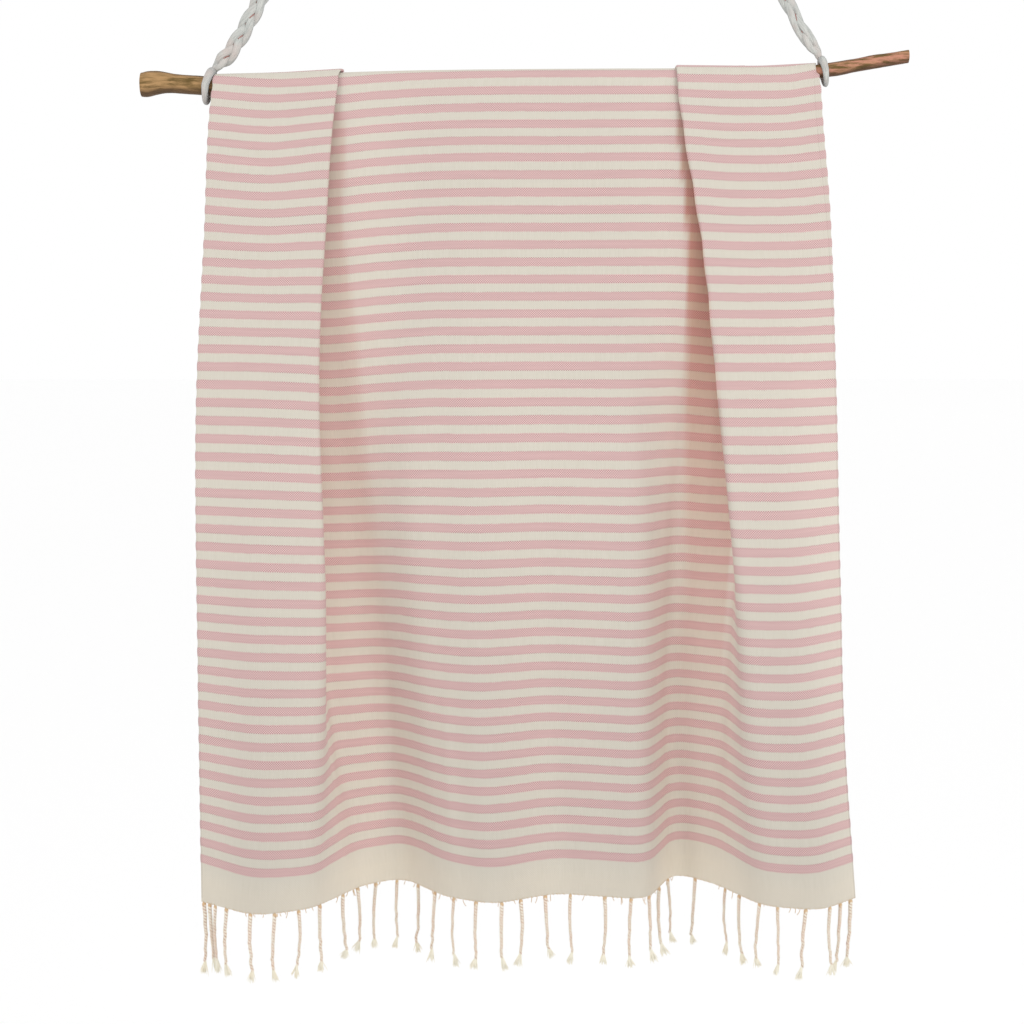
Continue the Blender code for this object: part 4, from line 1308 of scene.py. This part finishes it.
def ply_tree():
    """A line on every root, bent by the root's lean, wound round it as one ply, then swept."""
    tree, given, result = new_geometry_tree("one ply of every strand", FRINGE_INPUTS)
    length, thick, seed = (
        node(tree, "GeometryNodeInputNamedAttribute", {"Name": label}, data_type="FLOAT")
        for label in ("length", "thick", "seed")
    )
    t = node(tree, "GeometryNodeSplineParameter").outputs["Factor"]
    taper = node(tree, "ShaderNodeMapRange", {0: t, 3: TAPER[0], 4: TAPER[1]})
    girth = node(tree, "ShaderNodeMath", {0: taper, 1: thick}, operation="MULTIPLY")
    sway = strand_sway(tree, t, seed)
    winding = ply_winding(tree, given, t, length, seed, girth)
    place = node(tree, "ShaderNodeVectorMath", {0: sway, 1: winding}, operation="ADD")
    lines = strand_lines(tree, given, length)
    shaped = node(tree, "GeometryNodeSetPosition", {"Geometry": lines, "Offset": place})
    wide = node(tree, "GeometryNodeSetCurveRadius", {"Curve": shaped, "Radius": girth})
    size = {"Resolution": given.outputs["Sides"], "Radius": given.outputs["Ply radius"]}
    section = node(tree, "GeometryNodeCurvePrimitiveCircle", size)
    sweep = {"Curve": wide, "Profile Curve": section, "Scale": girth, "Fill Caps": True}
    swept = node(tree, "GeometryNodeCurveToMesh", sweep)
    end_tree(tree, swept, node(tree, "GeometryNodeInputPosition"), given, result)
    return tree


PLY = ply_tree()
print("tree:", PLY.name, "with", len(FRINGE_INPUTS), "inputs")

# %% [markdown]
# A tuft is a fan of thin fibres, each a four-sided spike with few faces, because there are more
# than two thousand of them. The knot at a root is a squat bead, pulled into four flutes.


# %% A tuft and a root knot
FIBRE_WIDTHS = ((0.0, 0.9), (0.4, 1.15), (0.8, 0.8), (1.0, 0.2))  # share of its length, and mm wide there
DIAMOND = ((-1, 0), (0, -1), (1, 0), (0, 1))  # a fibre's section
KNOT_SIDES, KNOT_RINGS = 10, 5


def tuft(base, direction, spread, fibres, length, dice):
    """A fan of tapering fibres from one point. Each is a thin four-sided spike, bent a little."""
    points, faces = [], []
    direction = direction / np.linalg.norm(direction)
    side = np.cross(direction, (0.0, 1.0, 0.0))
    side /= np.linalg.norm(side)
    front = np.cross(side, direction)
    for _ in range(fibres):
        out = dice.gauss(0.0, 1.0) * spread
        toward = dice.gauss(0.0, 1.0) * spread * 0.6
        reach = length * dice.uniform(0.72, 1.05)
        bend = dice.uniform(-0.10, 0.10) * reach
        start = base + side * dice.uniform(-0.9, 0.9) + front * dice.uniform(-0.8, 0.8)
        faces += tube_faces(len(FIBRE_WIDTHS), len(DIAMOND), len(points))
        for t, width in FIBRE_WIDTHS:
            centre = start + direction * reach * t + side * (out * t + bend * t * t) + front * toward * t
            for u, w in DIAMOND:
                points.append(centre + side * u * width / 2 + front * w * width / 2)
    return points, faces


def knot(centre, radius, height, dice):
    """The little gathered knot at a root: a squat bead with four flutes."""
    points = []
    phase = dice.uniform(0, math.pi)
    for ring in range(KNOT_RINGS):
        t = ring / (KNOT_RINGS - 1)
        size = radius * (0.55 + 0.6 * math.sin(math.pi * (0.15 + 0.75 * t)))
        for k in range(KNOT_SIDES):
            a = 2 * math.pi * k / KNOT_SIDES
            r = size * (1 + 0.12 * math.cos(4 * a + phase))
            points.append(centre + np.array([r * math.cos(a), 0.8 * r * math.sin(a), -height * t]))
    return points, tube_faces(KNOT_RINGS, KNOT_SIDES)


print("a knot has", len(tube_faces(KNOT_RINGS, KNOT_SIDES)), "faces")

# %% [markdown]
# The hem itself is overcast by hand in tan thread: small slanting stitches, uneven, which show as a
# fuzzy broken line under the cream band. A few loose ends hang from it here and there. Stitches and
# ends follow the hem's own row of points, and the bundle's tree sweeps them.


# %% Hem stitches and loose threads
STITCH_START = 3.0  # mm from the selvedge to the first stitch
STITCH_WIDE, STITCH_GAP, STITCHES_KEPT = (2.0, 4.2), (0.0, 2.2), 0.8  # mm, mm, and the share not worn away
# Mm: how far a stitch's ends stand out from the cloth, how high the hem's edge lies, how far the
# stitch sags in its middle, and how far its ends climb
STITCH_OUT, STITCH_UP, STITCH_SAG, STITCH_BITE = 0.9, 0.4, 1.0, 0.8
# How many loose ends, mm from the selvedges, sideways drift as a share of the length, mm long
LOOSE_ENDS, LOOSE_MARGIN, LOOSE_DRIFT, LOOSE_LENGTH = 60, 8.0, 0.5, (2.0, 9.0)
THREAD = (0.44, 4, 0.1, 0.0, 1.2, 4)  # radius, and then as for a strand


def on_row(grid, row, place):
    """What a grid holds at a place across one of its rows."""
    return np.array([np.interp(place, PLACES, grid[row, :, axis]) for axis in range(3)])


def hem_binding(row, hem_z, dice):
    """Slanting stitches over the hem's edge, and loose threads."""
    lines = []
    place = STITCH_START
    while place < CLOTH_WIDTH - STITCH_START:
        wide = dice.uniform(*STITCH_WIDE)
        if dice.random() < STITCHES_KEPT:
            stitch = []
            for t in np.linspace(0.0, 1.0, 5):
                swing = math.cos(math.pi * t)
                at = on_row(GRID, row, place + wide * t)
                at = at + on_row(NORMALS, row, place + wide * t) * STITCH_OUT * swing
                at[2] = hem_z + STITCH_UP - STITCH_SAG * math.sin(math.pi * t) + STITCH_BITE * abs(swing)
                stitch.append(at)
            lines.append(stitch)
        place += wide + dice.uniform(*STITCH_GAP)
    for _ in range(LOOSE_ENDS):
        at = on_row(GRID, row, dice.uniform(LOOSE_MARGIN, CLOTH_WIDTH - LOOSE_MARGIN))
        at[2] = hem_z
        drift = dice.uniform(-LOOSE_DRIFT, LOOSE_DRIFT)
        reach = dice.uniform(*LOOSE_LENGTH)
        lines.append([at + np.array([drift * reach * t * t, 0.0, -reach * t]) for t in np.linspace(0, 1, 5)])
    return sweep_bundle("binding", lines, root_cotton, *THREAD)


# %% [markdown]
# Each fringe is made in one go from its row of root points. No two strands are alike: dice with a
# fixed seed say how each hangs. The front ones hang where they do in the picture. They were
# knotted by eye, so they aren't even, and the first three hang close together.

# %% Where the strands hang, and how they differ
FRONT_ROOTS = (
    # mm across the hem
    *(4, 13, 22, 40, 76, 105, 134, 164, 208, 237, 264, 292, 325, 360, 392, 422, 454),
    *(479, 512, 543, 585, 617, 642, 676, 710, 751, 801, 828, 864, 888, 921, 953, 972, 991),
)
STRAND_PITCH, FIRST_STRAND = 29.4, 15.0
BACK_ROOTS = tuple(FIRST_STRAND + STRAND_PITCH * k for k in range(len(FRONT_ROOTS)))
FRINGE_DROP = 3.3  # mm from the hem to where the twist starts
TWIST_LENGTH, PLY_POINTS = 7.6, 108  # mm in which a ply winds once round, and its points
PLIES = (
    # radius, how far out it winds, where it starts in the turn, sides, finish
    (1.22, 1.06, 0.0, 6, ply_cotton),
    (1.22, 1.06, 0.5, 6, ply_cotton),
    (0.74, 1.28, 0.25, 3, tan_and_groove_shade),
    (0.70, 1.24, 0.75, 3, tan_and_groove_shade),
)
STRAND_LENGTH, LENGTH_SPREAD, THICK_SPREAD = 68.0, (0.95, 1.04), (0.85, 1.12)  # mm, and shares
# Mm sideways and to the front: how far a strand's end strays, how far its middle, and its dice number
LEAN, BOW, SEEDS = (4, 2), (2.2, 1), (0.0, 50.0)
TUFT_LENGTH, TUFT_SPREAD, TUFT_WAY = 17.0, (0.8, 1.15), (0.35, 0.2)  # mm, share, slant each way
TUFT_FIBRES, TUFT_FAN, TUFT_OVERLAP = 34, 2.3, 1.5  # how many, mm that they fan out, mm into the strand
KNOT_RADIUS, KNOT_HEIGHT, KNOT_OVERLAP = 1.9, 5.2, 0.2  # mm


def gather(parts):
    """One list of points and faces from several."""
    points, faces = [], []
    for some_points, some_faces in parts:
        base = len(points)
        points += list(some_points)
        faces += [tuple(base + k for k in face) for face in some_faces]
    return points, faces


def root_points(roots, numbers, vectors):
    """A mesh of loose points, one for each strand, with the attributes that the tree reads."""
    mesh = bpy.data.meshes.new("roots")
    mesh.from_pydata([tuple(p * MM) for p in roots], [], [])
    for label, values in numbers.items():
        mesh.attributes.new(label, "FLOAT", "POINT").data.foreach_set("value", values)
    for label, values in vectors.items():
        layer = mesh.attributes.new(label, "FLOAT_VECTOR", "POINT")
        layer.data.foreach_set("vector", [c * MM for v in values for c in v])
    return new_object("roots", mesh)


print("strands:", len(FRONT_ROOTS), "in front and", len(BACK_ROOTS), "behind")

# %% [markdown]
# The roots become loose points that carry each strand's own numbers, and the tree runs on them once
# for every row of the table of plies. Tufts, knots and stitches join them as one piece a hem.


# %% The two fringes
def make_plies(roots, numbers, vectors):
    """The plies of every strand of one fringe."""
    plies = []
    for k, (radius, offset, phase, sides, finish) in enumerate(PLIES):
        values = {
            "Ply radius": radius * MM,
            "Ply offset": offset * MM,
            "Twist length": TWIST_LENGTH * MM,
            "Phase": phase,
            "Points": PLY_POINTS,
            "Sides": sides,
            "Finish": finish,
        }
        plies.append(run_tree(root_points(roots, numbers, vectors), PLY, values, f"ply_{k}"))
    return plies


def make_fringe(name, row, roots_across, hem_z, seed):
    """One fringe: strands with their knots and tufts, and the stitches along the hem."""
    dice = random.Random(seed)
    places = np.array(roots_across, float)
    x = np.interp(places, PLACES, GRID[row, :, 0])
    y = np.interp(places, PLACES, GRID[row, :, 1])
    roots = np.stack([x, y, 0 * x + hem_z - FRINGE_DROP], axis=1)
    lean, bow = (
        [(dice.uniform(-aside, aside), dice.uniform(-ahead, ahead), 0.0) for _ in roots]
        for aside, ahead in (LEAN, BOW)
    )
    length = [STRAND_LENGTH * dice.uniform(*LENGTH_SPREAD) for _ in roots]
    thick = [dice.uniform(*THICK_SPREAD) for _ in roots]
    seeds = [dice.uniform(*SEEDS) for _ in roots]
    numbers = {"length": [mm * MM for mm in length], "thick": thick, "seed": seeds}
    parts = make_plies(roots, numbers, {"lean": lean, "bow": bow})
    tufts, knots = [], []
    for root, slant, reach, width in zip(roots, lean, length, thick):
        end = root + np.array([slant[0], slant[1], TUFT_OVERLAP - reach])
        aside, ahead = (dice.uniform(-most, most) for most in TUFT_WAY)
        size = TUFT_LENGTH * dice.uniform(*TUFT_SPREAD)
        way = np.array([aside, ahead, -1.0])
        tufts.append(tuft(end, way, TUFT_FAN * width, TUFT_FIBRES, size, dice))
        top = root + np.array([0, 0, FRINGE_DROP - KNOT_OVERLAP])
        knots.append(knot(top, KNOT_RADIUS * width, KNOT_HEIGHT, dice))
    parts.append(mesh_object("tufts", *gather(tufts), tuft_cotton))
    parts.append(mesh_object("knots", *gather(knots), root_cotton))
    parts.append(hem_binding(row, hem_z, dice))
    return join(name, parts)


for name, solid, row, roots_across, hem_z, seed in (
    ("front_fringe", "fringe_front", 0, FRONT_ROOTS, FRONT_HEM_Z, 11),
    ("back_fringe", "fringe_back", ROWS - 1, BACK_ROOTS, BACK_HEM_Z, 12),
):
    fringe = make_fringe(name, row, roots_across, hem_z, seed)
    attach(fringe, "root")
    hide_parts(solid)
    print(name, sum(len(p.vertices) - 2 for p in fringe.data.polygons), "triangles")

# %% [markdown]
# The stick is driftwood: sea and sun have taken its bark and left long cracks, a silky skin and
# colours from pale tan to olive brown. Its left end is thick and sawn across, its right end thin.

# %% Driftwood finish
# The third colour is the painted shade on the stick's upper and lower sides
WOOD_LIGHT, WOOD_RED, WOOD_SHADE, WOOD_OLIVE = "ab875c", "b9826b", "463222", "644f28"
GRAIN_SCALE = (45.0, 330.0, 330.0)  # to a metre: cracks and fibres of about 22 mm by 3 mm
BLOTCH_SCALE = (28.0, 60.0, 60.0)  # and stains of about 36 mm by 17 mm
REDDER = (-0.2, 0.3)  # metres: the bare wood turns from tan to a red brown between these places
STAIN_SHARE, WOOD_SHADE_SHARE = 0.55, 0.8  # how strong the stains are, and the painted shade on the upper and lower sides


def wood_finish():
    """Driftwood: fibres in two tones, pale stains, and painted shade on its upper and lower sides."""
    finish, tree, shader = principled("weathered driftwood", 0.62)
    place = node(tree, "ShaderNodeTexCoord").outputs["Object"]
    long_way = node(tree, "ShaderNodeMapping", {0: place, "Scale": GRAIN_SCALE})
    fibres = {"Vector": long_way, "Scale": 1.0, "Detail": 5.0, "Roughness": 0.65}
    grain = node(tree, "ShaderNodeTexNoise", fibres)
    blotch_way = node(tree, "ShaderNodeMapping", {0: place, "Scale": BLOTCH_SCALE})
    blotch = node(tree, "ShaderNodeTexNoise", {"Vector": blotch_way, "Scale": 1.0, "Detail": 3.0})
    streak = node(tree, "ShaderNodeMapRange", {0: grain, 1: 0.43, 2: 0.57})
    patch = node(tree, "ShaderNodeMapRange", {0: blotch, 1: 0.42, 2: 0.60})
    axes = node(tree, "ShaderNodeSeparateXYZ", {0: place})
    rightward = node(tree, "ShaderNodeMapRange", {0: axes.outputs[0], 1: REDDER[0], 2: REDDER[1]})
    body = node(tree, "ShaderNodeMix", {0: rightward, 6: linear(WOOD_LIGHT), 7: linear(WOOD_RED)}, **COLOUR)
    two_tones = {0: streak, 6: linear(WOOD_OLIVE), 7: body.outputs[2]}
    marked = node(tree, "ShaderNodeMix", two_tones, **COLOUR)
    stain = node(tree, "ShaderNodeMath", {0: patch, 1: STAIN_SHARE}, operation="MULTIPLY")
    stained = {0: stain, 6: marked.outputs[2], 7: linear(WOOD_LIGHT)}
    mottled = node(tree, "ShaderNodeMix", stained, **COLOUR)
    # Painted shade: the wood is darkened where it faces up and where it faces down
    normal = node(tree, "ShaderNodeNewGeometry").outputs["Normal"]
    upward = node(tree, "ShaderNodeSeparateXYZ", {0: normal}).outputs[2]
    underside = node(tree, "ShaderNodeMapRange", {0: upward, 1: -0.2, 2: -0.75})
    upper = node(tree, "ShaderNodeMapRange", {0: upward, 1: 0.72, 2: 0.95, 4: 0.8})
    combined = node(tree, "ShaderNodeMath", {0: underside, 1: upper}, operation="MAXIMUM")
    wood_shade_mask = node(tree, "ShaderNodeMath", {0: combined, 1: WOOD_SHADE_SHARE}, operation="MULTIPLY")
    dark = node(tree, "ShaderNodeMix", {0: wood_shade_mask, 6: mottled.outputs[2], 7: linear(WOOD_SHADE)}, **COLOUR)
    tree.links.new(dark.outputs[2], shader.inputs["Base Color"])
    bump = node(tree, "ShaderNodeBump", {"Height": grain, "Strength": 0.6, "Distance": 0.6 * MM})
    tree.links.new(bump.outputs[0], shader.inputs["Normal"])
    return finish


driftwood = wood_finish()
print("wood finish:", driftwood.name)

# %% [markdown]
# The stick itself is a tube of rings along its own table. Two noises push its skin in and out, long
# shallow cracks and finer ones, and a few knots stand out where side shoots once grew.

# %% The stick
STICK_SIDES, STICK_RINGS = 48, 330
# Mm along the stick, degrees round it, mm wide, mm tall
KNOTS = ((-418, 80, 12, 1.6), (-250, 200, 14, 1.2), (402, 60, 10, 1.0), (365, 250, 9, 0.9))
# Mm along the stick, how often round it, and mm that it pushes
CRACKS = ((60, 2.2, 0.45), (9, 7, 0.22))
PARED = 0.12  # mm taken off all round, which the cracks and knots add again


def make_stick():
    """Rings along the stick's table, roughened by long cracks and a few knots, closed by sawn ends."""
    first, last = STICK[0][0], STICK[-1][0]
    points = []
    for ring in range(STICK_RINGS):
        x = first + (last - first) * ring / (STICK_RINGS - 1)
        height, radius = float(stick_height(x)), float(stick_radius(x))
        for k in range(STICK_SIDES):
            angle = 2 * math.pi * k / STICK_SIDES
            push = -PARED
            for wave, often, depth in CRACKS:
                at = Vector((x / wave, often * math.cos(angle), often * math.sin(angle)))
                push += depth * noise.noise(at)
            for place, turn, size, tall in KNOTS:
                swing = (math.degrees(angle) - turn + 180) % 360 - 180
                away = math.hypot(x - place, math.radians(swing) * radius)
                push += tall * math.exp(-((away / size) ** 2))
            r = radius + push
            points.append((x, r * math.cos(angle), height + r * math.sin(angle)))
    faces = tube_faces(STICK_RINGS, STICK_SIDES)
    return mesh_object("driftwood_stick", points, faces, driftwood, smooth_angle=50.0)


stick = make_stick()
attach(stick, "root")
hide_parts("stick")
print("stick:", len(stick.data.polygons), "faces")
